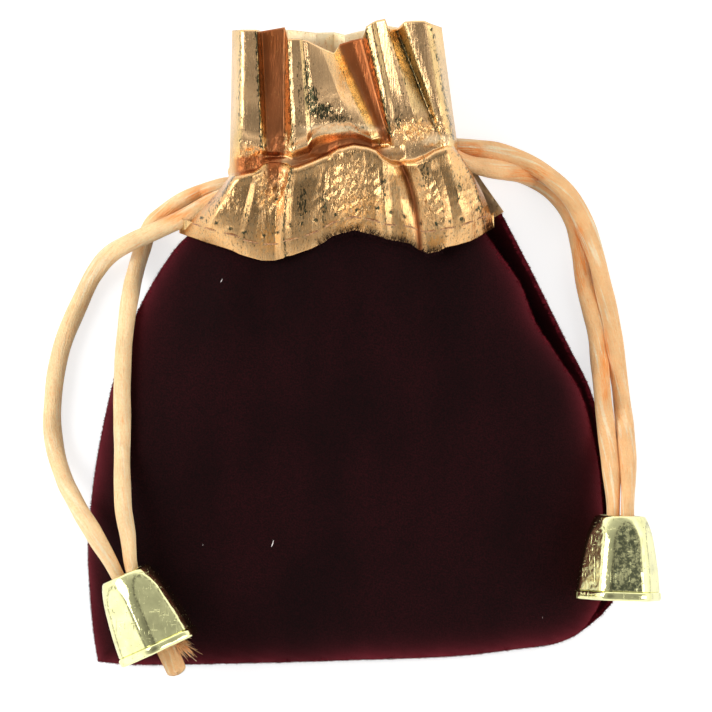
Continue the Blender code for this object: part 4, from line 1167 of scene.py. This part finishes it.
# Cream painted highlights, where the foil mirrors the bright sky
CREAM_PAINTED_HIGHLIGHT = [(339, 130, 32, 4.5, 0.75), (436, 140, 15, 6, 0.6)]
# Needle holes of the hem stitches; each is a shallow dent with painted shade
HOLE_DEPTH = 0.08
HOLES = [(187, 211), (202, 218), (217, 223), (231, 229), (244, 233), (264, 236), (277, 233), (290, 226),
         (303, 224), (316, 221), (336, 215), (357, 210), (378, 209), (391, 213), (404, 218), (420, 224),
         (436, 224), (449, 222), (461, 219), (477, 210), (488, 205)]


def lift_over_cords(points, side):
    """Keeps the cloth clear of the cords, above them or, for the back, below them."""
    lines = np.concatenate([left_line, right_line])
    near = lines[(lines[:, 1] > 17) & (np.abs(lines[:, 0]) < 24)]
    radius = CORD_DIAMETER / 2 + 0.2
    chosen = near[near[:, 2] > 7.3] if side > 0 else near[near[:, 2] < 7.3]
    for cord_point in chosen:
        away = (points[:, 0] - cord_point[0]) ** 2 + (points[:, 1] - cord_point[1]) ** 2
        touched = away < radius * radius
        if touched.any():
            lift = np.sqrt(radius * radius - away[touched])
            if side > 0:
                points[touched, 2] = np.maximum(points[touched, 2], cord_point[2] + lift)
            else:
                points[touched, 2] = np.minimum(points[touched, 2], cord_point[2] - lift)


def station_points(lines, place, neck, share):
    """Picture place and height share at each column, and how near a fold line it is.

    Columns are spread by where the lines cross the neck, so they stay whole all the way up.
    """
    raw = np.array([line[place] for line in lines], float)
    across = np.array([line[neck][0] for line in lines], float)
    at = (across - across[0]) / (across[-1] - across[0])
    values = np.stack([np.interp(share, at, raw[:, c]) for c in range(3)], axis=1)
    turn = np.zeros(len(raw))
    for k in range(1, len(raw) - 1):
        before = (raw[k, 2] - raw[k - 1, 2]) / max(raw[k, 0] - raw[k - 1, 0], 1)
        after = (raw[k + 1, 2] - raw[k, 2]) / max(raw[k + 1, 0] - raw[k, 0], 1)
        turn[k] = min(1.0, abs(after - before) * 9)
    near = np.zeros(len(share))
    for k in range(1, len(raw) - 1):
        near = np.maximum(near, turn[k] * np.exp(-((values[:, 0] - raw[k, 0]) * PIXEL / CREASED) ** 2))
    return values, near


def front_collar(columns):
    share = np.linspace(0, 1, columns + 1)
    off = np.abs(share * 2 - 1) ** SIDE_ROLL
    hem, hem_near = station_points(LOWER, 0, 2, share)
    half, half_near = station_points(LOWER, 1, 2, share)
    rim, rim_near = station_points(LOWER, 2, 2, share)
    foot, foot_near = station_points(UPPER, 1, 1, share)
    mouth, mouth_near = station_points(UPPER, 0, 1, share)

    (hem_x, hem_y), (half_x, half_y), (rim_x, rim_y), (foot_x, foot_y), (mouth_x, mouth_y) = (
        from_photo(values[:, 0], values[:, 1]) for values in (hem, half, rim, foot, mouth))
    rows = []

    def row(x, y, z, level, near, **extra):
        rows.append({"x": x, "y": y, "z": z, "level": level, "near": near, **extra})

    # turned-under hem, then the outer layer up to the rim
    on_body = front_height(front_seams, hem_x, hem_y) + FIT
    hem_z = on_body + LOWER_PLEAT * hem[:, 2] * 0.75
    row(hem_x, hem_y + 2.2, np.minimum(hem_z - 0.3, on_body + 0.5 + LOWER_PLEAT * hem[:, 2] * 0.5),
        hem[:, 2], hem_near, groove=0.6)
    row(hem_x, hem_y + 0.35, hem_z - 0.42, hem[:, 2], hem_near, groove=0.4)
    row(hem_x, hem_y + 0.02, hem_z - 0.30, hem[:, 2], hem_near, groove=0)
    for k in range(LOWER_ROWS + 1):
        t = k / LOWER_ROWS
        a, b, c = (1 - t) * (1 - 2 * t), 4 * t * (1 - t), t * (2 * t - 1)
        x = a * hem_x + b * half_x + c * rim_x
        y = a * hem_y + b * half_y + c * rim_y
        level = np.interp(t, [0, 0.5, 1], [0, 1, 2])
        low, high, part = (hem, half, level) if level < 1 else (half, rim, level - 1)
        pleat = low[:, 2] * (1 - part) + high[:, 2] * part
        near_low, near_high = (hem_near, half_near) if level < 1 else (half_near, rim_near)
        near = near_low * (1 - part) + near_high * part
        cloth = front_height(front_seams, x, y) + FIT
        tunnel = FRONT_OUTER - 3.0 * off
        blend = 1 - (1 - min(1.0, t / 0.6)) ** 2.5
        base = cloth * (1 - blend) + np.maximum(cloth, tunnel) * blend
        roll = 0.35 * smooth_step(0.8, 0.97, t)
        tip = -0.5 * max(0.0, (t - 0.93) / 0.07) ** 2
        amplitude = LOWER_PLEAT * (0.75 + 0.25 * min(1, t * 2))
        # The casing below the rim gets painted shade and a little painted orange bounce.
        row(x, y, base + amplitude * pleat + roll + tip, pleat, np.maximum(near, 0.16), groove=0, warm=0.3,
            dull=1.0 if t < 0.97 else 0.0)
    # the groove behind the rim, deep in the middle and on the left, and the foot of the frill
    open_gap = np.interp(rim[:, 0], [at for at, _ in GROOVE], [deep for _, deep in GROOVE])
    gap = np.maximum(foot_y - rim_y, 0.35)
    rim_z = rows[-1]["z"]
    arc_z = FRONT_OUTER - 0.7 - 2.6 * off + 1.6 * foot[:, 2]
    floor = np.minimum(rim_z, arc_z) - open_gap * (0.35 + np.minimum(0.9, gap * 0.3))
    for t, depth_share in GROOVE_SHAPE:
        x = rim_x * (1 - t) + foot_x * t
        y = rim_y * (1 - t) + (rim_y + gap) * t
        ends = rim_z * (1 - smooth_step(0.2, 0.8, t)) + arc_z * smooth_step(0.2, 0.8, t)
        z = ends * (1 - depth_share) + floor * depth_share
        wall = 1 - float(smooth_step(0.56, 0.66, t))
        row(x, y, z, np.maximum(rim[:, 2] * (1 - t) + foot[:, 2] * t, 0.3 * (1 - open_gap)),
            rim_near * 0, groove=min(1.0, depth_share * 1.2) * wall * open_gap)
    # the frill, up to the mouth
    foot_top = rim_y + gap
    for k in range(UPPER_ROWS + 1):
        t = k / UPPER_ROWS
        x = foot_x * (1 - t) + mouth_x * t
        y = foot_top * (1 - t) + mouth_y * t
        pleat = foot[:, 2] * (1 - t) + mouth[:, 2] * t
        near = foot_near * (1 - t) + mouth_near * t
        high = (FRONT_OUTER - 0.7) * (1 - t) + (FRONT_INNER + 0.75) * t
        drop = 2.6 * (1 - t) + 1.2 * t + 2.0 * 4 * t * (1 - t)
        amplitude = 1.6 + (UPPER_PLEAT - 1.6) * smooth_step(0.0, 0.4, t)
        puff = FRILL_PUFF * open_gap * (smooth_step(0.0, 0.12, t) - smooth_step(0.14, 0.6, t))
        row(x, y, high - drop * off + amplitude * pleat + puff, pleat, near, groove=0)
    # folded over at the mouth, and down again as the lining
    for angle in (30, 75, 120, 165):
        a = radians(angle)
        row(mouth_x, mouth_y + 0.35 * sin(a), rows[-1]["z"] - 0.05 if angle == 30 else
            rows[-1]["z"] - 0.18, mouth[:, 2], mouth_near * 0, groove=0)
    top_z = rows[-1]["z"]
    for k in range(1, LINING_ROWS + 1):
        t = k / LINING_ROWS
        x = mouth_x * (1 - t) + rim_x * LINING_NARROWER * t
        y = mouth_y * (1 - t) + (hem_y + 3.2) * t
        gathers = 0.9 * (1 - np.cos(share * 2 * pi * LINING_GATHERS)) * smooth_step(0.1, 0.5, t)
        flat = FRONT_INNER - 0.2 - gathers * (1 - off)
        z = top_z * (1 - smooth_step(0.0, 0.5, t)) + flat * smooth_step(0.0, 0.5, t)
        z = np.minimum(z, front_height(front_seams, x, np.minimum(y, hem_y + 3)) - 1.2) if t > 0.8 else z
        row(x, y, z, mouth[:, 2] * (1 - t), mouth_near * 0, groove=0.5)
    return rows


def collar_piece(name, rows, side, columns):
    """Cloth through the rows, with its fine facets and the values that the finish needs."""
    x, y, z, level, near, groove, warm, painted_pale_light, dull = (
        np.array([np.full(columns + 1, 1.0) * r.get(key, 0) for r in rows])
        for key in ("x", "y", "z", "level", "near", "groove", "warm", "painted_pale_light", "dull"))
    px, py = to_photo(x, y)
    crumple = patches(px, py, CRUMPLED) if side > 0 else np.full(x.shape, 0.15)
    shade = patches(px, py, SHADED) if side > 0 else np.zeros(x.shape)
    # Painted orange bounce from the patch table.
    warm = np.maximum(warm, patches(px, py, GOLD_BOUNCE_PATCHES))
    wrinkle = crinkled(x, y, 5, 1.3) * (0.03 + 0.85 * crumple) * (1 - 0.7 * groove)
    z = z + side * (wrinkle + 0.10 * ripple(x * 5, y * 1.6, 12))
    # Valleys, the groove, the turned-under hem and the lining get painted shade and painted gold
    # reflection.
    valley = smooth_step(0.30, 0.06, level) * 0.95
    valley = np.maximum(valley, smooth_step(0.25, 0.9, groove) * 0.9)
    column = np.arange(columns + 1)
    valley = valley * np.minimum(1, np.minimum(column, columns - column) / (columns * SIDE_WITHOUT_VALLEY))
    if side < 0:
        valley = valley * 0.3
    else:
        for hole_x, hole_y in HOLES:
            dent = np.exp(-((px - hole_x) ** 2 + (py - hole_y) ** 2) / 4.0) * (groove < 0.3)
            z = z - HOLE_DEPTH * dent
            # Painted shade in each needle hole.
            shade = np.maximum(shade, dent * 1.4)
    points = np.stack([x.ravel(), y.ravel(), z.ravel()], axis=1)
    lift_over_cords(points, side)
    heights = points[:, 2].reshape(z.shape)
    # The tilt sets the painted reflection colour of steep facets.
    tilt = np.abs(np.gradient(heights, axis=1)) / np.maximum(np.abs(np.gradient(x, axis=1)), 0.02)
    # Painted highlights from the cream patch table.
    if side > 0:
        painted_pale_light = np.maximum(painted_pale_light, patches(px, py, CREAM_PAINTED_HIGHLIGHT) * (groove < 0.3))
    values = {"tilt": np.clip(tilt, 0, 2).ravel(), "valley": np.clip(valley, 0, 1).ravel(),
              # The fold value carries painted shade along folds, in shaded patches and in needle holes.
              "painted_crease_shade": np.clip(np.maximum(near * 0.9, shade), 0, 1).ravel(), "crumple": crumple.ravel(),
              "warm": warm.ravel(), "painted_pale_light": painted_pale_light.ravel(), "dull": dull.ravel()}
    return make_piece(name, points, grid_faces(columns, len(rows) - 1, flip=side < 0), values)


COLLAR_COLUMNS = 330
front_rows = front_collar(COLLAR_COLUMNS)
collar_front = collar_piece("collar_front_cloth", front_rows, 1, COLLAR_COLUMNS)
collar_front.data.materials.append(foil)


def back_collar(columns):
    share = np.linspace(0, 1, columns + 1)
    off = np.abs(share * 2 - 1) ** 6
    rows = []
    places = [station_points(BACK, place, 1, share) for place in range(4)]
    lifted = BACK_MOUTH_LIFT * np.exp(-((places[3][0][:, 0] - 325) / 34) ** 4)
    spots = [from_photo(values[:, 0], values[:, 1]) for values, _ in places]
    for k in range(BACK_ROWS + 1):
        t = 3 * k / BACK_ROWS
        low = min(int(t), 2)
        part = t - low
        (va, na), (vb, nb) = places[low], places[low + 1]
        x = spots[low][0] * (1 - part) + spots[low + 1][0] * part
        y = spots[low][1] * (1 - part) + spots[low + 1][1] * part
        pleat = va[:, 2] * (1 - part) + vb[:, 2] * part
        near = na * (1 - part) + nb * part
        cloth = back_height(back_seams, x, y) - FIT
        tunnel = BACK_OUTER + 1.7 * off
        upper = smooth_step(1.2, 3.0, t)
        tunnel = tunnel * (1 - upper) + (PASSAGE_FLOOR - 0.7 + 0.8 * off) * upper
        blend = smooth_step(0.0, 0.5, t)
        base = cloth * (1 - blend) + tunnel * blend
        end = 3.2 * smooth_step(0.88, 0.94, share) - 0.8 * smooth_step(0.955, 1.0, share)
        base = base + end * (1 - smooth_step(1.0, 1.6, t))
        z = np.maximum(base - (BACK_PLEAT + 0.7 * upper) * pleat, 0.12)
        z = z + lifted * smooth_step(2.3, 3.0, t)
        # The free right end lies in the front collar's shade; painted pale light and painted orange bounce
        # lift it.
        free_end = smooth_step(0.78, 0.84, share) * (1 - smooth_step(1.6, 2.4, t))
        rows.append({"x": x, "y": y, "z": z, "level": pleat, "near": near, "groove": 0,
                     "warm": free_end, "painted_pale_light": 0.95 * free_end})
    # The mouth fold and the lining are the cloth's reverse; their pale cream is also painted reflection of
    # the bright sky.
    (x, y), z = spots[3], rows[-1]["z"]
    for step in (0.15, 0.35, 0.55):
        rows.append({"x": x, "y": y + 0.35 * sin(step * 5), "z": z + step, "level": rows[-1]["level"],
                     "near": near * 0, "groove": 0, "painted_pale_light": 0.8})
    for k in range(1, BACK_LINING_ROWS + 1):
        t = k / BACK_LINING_ROWS
        inner_x = x * (1 - t) + spots[1][0] * LINING_NARROWER * t
        inner_y = y * (1 - t) + (spots[0][1] + 3.0) * t
        gathers = 0.9 * (1 - np.cos(share * 2 * pi * LINING_GATHERS)) * smooth_step(0.1, 0.5, t)
        flat = PASSAGE_FLOOR + 0.2 + gathers * (1 - off)
        height = (z + 0.6) * (1 - smooth_step(0, 0.5, t)) + flat * smooth_step(0, 0.5, t)
        rows.append({"x": inner_x, "y": inner_y, "z": height, "level": rows[-1]["level"], "near": near * 0,
                     "groove": 0.5 if t > 0.2 else 0, "painted_pale_light": 0.9})
    return rows


back_rows = back_collar(COLLAR_COLUMNS)
collar_back = collar_piece("collar_back_cloth", back_rows, -1, COLLAR_COLUMNS)
collar_back.data.materials.append(foil)
print("collar faces", len(collar_front.data.polygons), "front", len(collar_back.data.polygons), "back")

# %% [markdown]
# A bell is a dome cut by six flats with arched tops, over a plain rim band. Inside it is
# hollow. The corners between flats are softened, because the plating fills them a little.

# %% Bells
BELL_RIM_ACROSS = 11.4
BELL_RIM_HEIGHT = 1.2
BELL_WALL = 0.8
BELL_SIDES = 6
BELL_AROUND = 288
BELL_RINGS = 72
CORNER_SOFT = 0.16
RIM_CORNER_SOFT = 0.3


def off_flat(angle):
    """The angle from the middle of the nearest flat."""
    return (angle + pi / BELL_SIDES) % (2 * pi / BELL_SIDES) - pi / BELL_SIDES


def softer(a, b, width):
    """The smaller of two radii, with the corner between them rounded."""
    h = max(0.0, width - abs(a - b)) / width
    return min(a, b) - h * h * width / 4


def bell_piece(name, bell, worn_flat=0.0):
    """A hollow bell from rings of points: up the outside, and down again inside."""
    place = bell["place"]
    rim = BELL_RIM_HEIGHT / BELL_HEIGHT
    rings = []

    def ring(share, radius_at):
        line = []
        for k in range(BELL_AROUND):
            angle = 2 * pi * k / BELL_AROUND
            radius = radius_at(off_flat(angle))
            line.append((radius * cos(angle), radius * sin(angle), share * BELL_HEIGHT))
        rings.append(line)

    def rim_at(grow):
        return lambda fold: softer((BELL_RIM_ACROSS / 2 + grow) / cos(fold), BELL_RIM_RADIUS + grow,
                                   RIM_CORNER_SOFT)

    for share, grow in ((0.0, -0.28), (0.012, -0.08), (0.03, 0.0), (rim - 0.02, 0.0),
                        (rim - 0.004, -0.10), (rim + 0.006, -0.34)):
        ring(share, rim_at(grow))
    for k in range(BELL_RINGS):
        share = rim + 0.012 + (0.986 - rim) * k / (BELL_RINGS - 1)

        def side_at(fold, share=share):
            return softer(bell_flat(share) / cos(fold), bell_profile(share), CORNER_SOFT)

        ring(share, side_at)
    for share, wider in ((1.002, 0.34), (1.0, 0.12), (0.990, 0.02), (0.95, 0.0)):
        ring(share, lambda fold, wider=wider: BELL_HOLE + wider)
    for share in (0.86, 0.7, 0.5, 0.3, 0.12, 0.0):
        room = min(bell_flat(share), bell_profile(share)) - BELL_WALL
        ring(share, lambda fold, room=room: max(BELL_HOLE, room))
    points = [place @ Vector(p) for line in rings for p in line]
    faces = []
    count = len(rings)
    for r in range(count):
        following = (r + 1) % count
        for k in range(BELL_AROUND):
            n = (k + 1) % BELL_AROUND
            faces.append((r * BELL_AROUND + k, r * BELL_AROUND + n,
                          following * BELL_AROUND + n, following * BELL_AROUND + k))
    arch, worn = [], []
    for line in rings[:BELL_RINGS + 8]:
        for x, y, z in line:
            share, angle = z / BELL_HEIGHT, atan2(y, x)
            fold = off_flat(angle)
            over = bell_flat(share) / cos(fold) - bell_profile(max(0.0, min(1.0, share)))
            arch.append(exp(-(over / 0.055) ** 2) if share > rim else 0.0)
            facing = (place.to_3x3() @ Vector((cos(angle - fold), sin(angle - fold), 0))).z
            worn.append(worn_flat if over < -0.05 and facing > 0.85 and share > rim + 0.02 else 0.0)
    rest = len(points) - len(arch)
    values = {"arch": arch + [0.0] * rest, "worn": worn + [0.0] * rest}
    item = make_piece(name, points, faces, values)
    item.data.set_sharp_from_angle(angle=radians(40))
    item.data.materials.append(plate)
    return item


bell_left = bell_piece("bell_left_plated", LEFT_BELL)
bell_right = bell_piece("bell_right_plated", RIGHT_BELL, worn_flat=1.0)
for cord in (cord_left, cord_right):
    cord.data.materials.append(satin)
print("bell faces", len(bell_left.data.polygons))

# %% [markdown]
# The cord ends are glued inside the bells. On the left bell the cut end has worked out of the
# mouth: a flattened stub of parallel strands, and beside it a small tuft of frayed ones.

# %% Frayed ends
STUB_SIDES = 40
STUB_ROWS = 60


def stub_points(place):
    """Rings of a flattened cord end, from inside the bell to its cut tip."""
    rng = np.random.default_rng(33)
    jag = rng.uniform(-0.25, 0.2, STUB_SIDES + 1)
    jag[-1] = jag[0]
    points = []
    for k in range(STUB_ROWS + 1):
        t = k / STUB_ROWS
        down = 3.0 - 7.0 * t
        closing = sqrt(max(0.0, 1 - max(0.0, (t - 0.9) / 0.1) ** 2))
        for i in range(STUB_SIDES + 1):
            a = 2 * pi * i / STUB_SIDES
            strand = 1 + 0.10 * cos(7 * a + 1.5 * t) + 0.05 * cos(13 * a - 2 * t)
            x = -1.15 + 0.25 * t + 1.35 * strand * closing * cos(a)
            y = 1.0 - 0.5 * t + 0.75 * strand * closing * sin(a)
            points.append(place @ Vector((x, y, down - jag[i] * smooth_step(0.8, 1.0, t))))
    return points


def strands(name, place, seed, count, root, lean, length):
    """Loose strands, each a thin curved ribbon."""
    rng = np.random.default_rng(seed)
    points = []
    for _ in range(count):
        start = np.array(root) + rng.normal(0, 0.28, 3)
        heading = np.array(lean) + rng.normal(0, 0.22, 3)
        size = length * rng.uniform(0.5, 1.0)
        bend, turn = rng.normal(0, 0.25, 3), rng.uniform(0, pi)
        side = np.array([cos(turn), sin(turn), 0]) * rng.uniform(0.05, 0.10)
        for k in range(7):
            t = k / 6
            middle = start + heading * size * t + bend * t * t
            points += [place @ Vector(middle + sign * side * (1 - 0.6 * t)) for sign in (-1, 1)]
    faces = [face for n in range(count) for face in grid_faces(1, 6, 14 * n)]
    item = make_piece(name, points, faces, {"along": np.arange(len(points)) * 0.37,
                                            "around": np.arange(len(points)) // 14 * 0.13 % 1,
                                            "tone": np.ones(len(points))})
    item.data.materials.append(satin)
    return item


stub_grid = stub_points(LEFT_BELL["place"])
stub = make_piece("cord_stub_left", stub_grid, grid_faces(STUB_SIDES, STUB_ROWS, flip=True),
                  {"along": [k // (STUB_SIDES + 1) * 0.11 for k in range(len(stub_grid))],
                   "around": [k % (STUB_SIDES + 1) / STUB_SIDES for k in range(len(stub_grid))],
                   "tone": [1.0] * len(stub_grid)})
stub.data.materials.append(satin)
tuft_left = strands("frayed_end_left", LEFT_BELL["place"], 31, 220, (-2.6, 1.0, 0.8),
                    (-0.45, -0.1, -1.0), 2.6)
print("frayed strands", len(tuft_left.data.polygons) // 6)

# %% [markdown]
# Velvet sheds: dark hairs of the pile lie over the collar's lower edge, and a few pale specks
# of lint lie on the front.

# %% Pile hairs on the hem and lint
# Picture place, length and half width of each speck
LINT = [(273, 544, 1.1, 0.08), (222, 281, 0.5, 0.05), (203, 545, 0.2, 0.02), (543, 618, 0.25, 0.02)]

HAIRS_X = (-5.0, 13.0)

hem_row = front_rows[HEM_ROW]
hem_line = [[x, y + 0.05, z + 0.30] for x, y, z in zip(hem_row["x"], hem_row["y"], hem_row["z"])
            if HAIRS_X[0] < x < HAIRS_X[1]]
hem_hairs = pile_fringe("pile_hairs_hem", hem_line, 420, 24, reach=1.1, width=0.04, rise=0.8,
                        finish=velvet)

lint_points = []
rng = np.random.default_rng(51)
for lint_x, lint_y, size, width in LINT:
    x, y = from_photo(lint_x, lint_y)
    z = float(front_height(front_seams, np.array([x]), np.array([y]))[0]) + 0.45
    heading = np.array([0.55, 0.83, 0.0]) + rng.normal(0, 0.15, 3) * (1, 1, 0)
    side = np.array([-heading[1], heading[0], 0.0])
    for k in range(9):
        t = k / 8
        middle = np.array([x, y, z]) + heading * size * (t - 0.5) + side * 0.25 * size * t * t
        lint_points += [middle + side * width * sign * sin(pi * (0.1 + 0.8 * t)) for sign in (1, -1)]
lint = make_piece("lint_specks", lint_points,
                  [face for n in range(len(LINT)) for face in grid_faces(1, 8, 18 * n)])
lint_fibre, tree, finish = new_material("lint", 0.0, 0.9)
tone = noise(tree, object_place(tree), 3000.0, 2.0, 0.6)
tree.links.new(mix(tree, tone, (0.62, 0.50, 0.48), (0.95, 0.90, 0.88)), finish["Base Color"])
lint.data.materials.append(lint_fibre)
print("hairs on the hem", len(hem_hairs.data.polygons), "and specks of lint", len(LINT))

# %% [markdown]
# One line of running stitch lies just above the hem. Its needle holes are shallow dents
# that were made with the collar's cloth and darkened with painted shade; here come the fine threads
# between them.

# %% Stitches
STITCH_ROW = HEM_ROW + int(0.19 * LOWER_ROWS)
STITCH_PITCH = 3.0
STITCH_POINTS = 9
THREAD_RADIUS = 0.11
THREAD_SIDES = 6

thread_material, tree, finish = new_material("sewing_thread", 0.0, 0.6)
shade = noise(tree, object_place(tree), 5000.0, 2.0, 0.6)
colour = mix(tree, between(tree, shade, 0.35, 0.65), (0.25, 0.10, 0.05), (0.70, 0.38, 0.16))
tree.links.new(colour, finish["Base Color"])


def row_points(piece, row, columns):
    """One row of a grid's points, read back from its mesh."""
    first = row * (columns + 1)
    return np.array([piece.data.vertices[first + i].co / MM for i in range(columns + 1)])


def stitches(name, line, pitch, seed):
    """Short bowed threads along a line, each a tube that dips into the cloth at its ends."""
    rng = np.random.default_rng(seed)
    run = run_along(line)
    points, faces = [], []
    s = 1.2
    while s < run[-1] - 1.5:
        size = pitch * rng.uniform(0.62, 0.78)
        ring_points = []
        for k in range(STITCH_POINTS):
            t = k / (STITCH_POINTS - 1)
            bow = 0.16 * sin(pi * t) - 0.06
            ring_points.append(place_on(line, run, s + size * t) + np.array([0, 0, bow]))
        for k, middle in enumerate(ring_points):
            ahead = ring_points[min(k + 1, STITCH_POINTS - 1)] - ring_points[max(k - 1, 0)]
            ahead /= max(np.linalg.norm(ahead), 1e-6)
            sideways = np.cross(ahead, (0, 0, 1))
            sideways /= max(np.linalg.norm(sideways), 1e-6)
            up = np.cross(sideways, ahead)
            for i in range(THREAD_SIDES + 1):
                a = 2 * pi * i / THREAD_SIDES
                points.append(middle + THREAD_RADIUS * (cos(a) * sideways + sin(a) * up))
        first = len(points) - STITCH_POINTS * (THREAD_SIDES + 1)
        faces += grid_faces(THREAD_SIDES, STITCH_POINTS - 1, first)
        s += pitch * rng.uniform(0.92, 1.08)
    item = make_piece(name, points, faces)
    item.data.materials.append(thread_material)
    return item


stitch_line = row_points(collar_front, STITCH_ROW, COLLAR_COLUMNS)
stitch_front = stitches("stitches_front", stitch_line, STITCH_PITCH, 41)
print("stitch faces", len(stitch_front.data.polygons))

# %% [markdown]
# Cloth pieces say what size they were cut to; the cords say how long they are.

# %% What the pieces are


def area_mm2(item):
    return sum(p.area for p in item.data.polygons) / MM ** 2


for piece, nodes_for, slot in (
        (velvet_front, ("velvet_front_panel",), "velvet"), (velvet_back, ("velvet_back_panel",), "velvet"),
        (fringe_front, (), "velvet"), (fringe_back, (), "velvet"),
        (collar_front, ("collar_front",), "foil_cloth"), (collar_back, ("collar_back",), "foil_cloth"),
        (cord_left, ("cord_left",), "satin_cord"), (cord_right, ("cord_right",), "satin_cord"),
        (bell_left, ("bell_left",), "gold_plate"), (bell_right, ("bell_right",), "gold_plate"),
        (stub, (), "satin_cord"), (tuft_left, (), "satin_cord"), (hem_hairs, (), "velvet"),
        (lint, (), "velvet"), (stitch_front, (), "foil_cloth")):
    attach(piece, "root")
    if nodes_for:
        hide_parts(*nodes_for)

for item in (velvet_front, velvet_back, collar_front, collar_back):
    print(item.name, "area", round(area_mm2(item)), "square mm")

bpy.context.scene.view_settings.view_transform = "Standard"
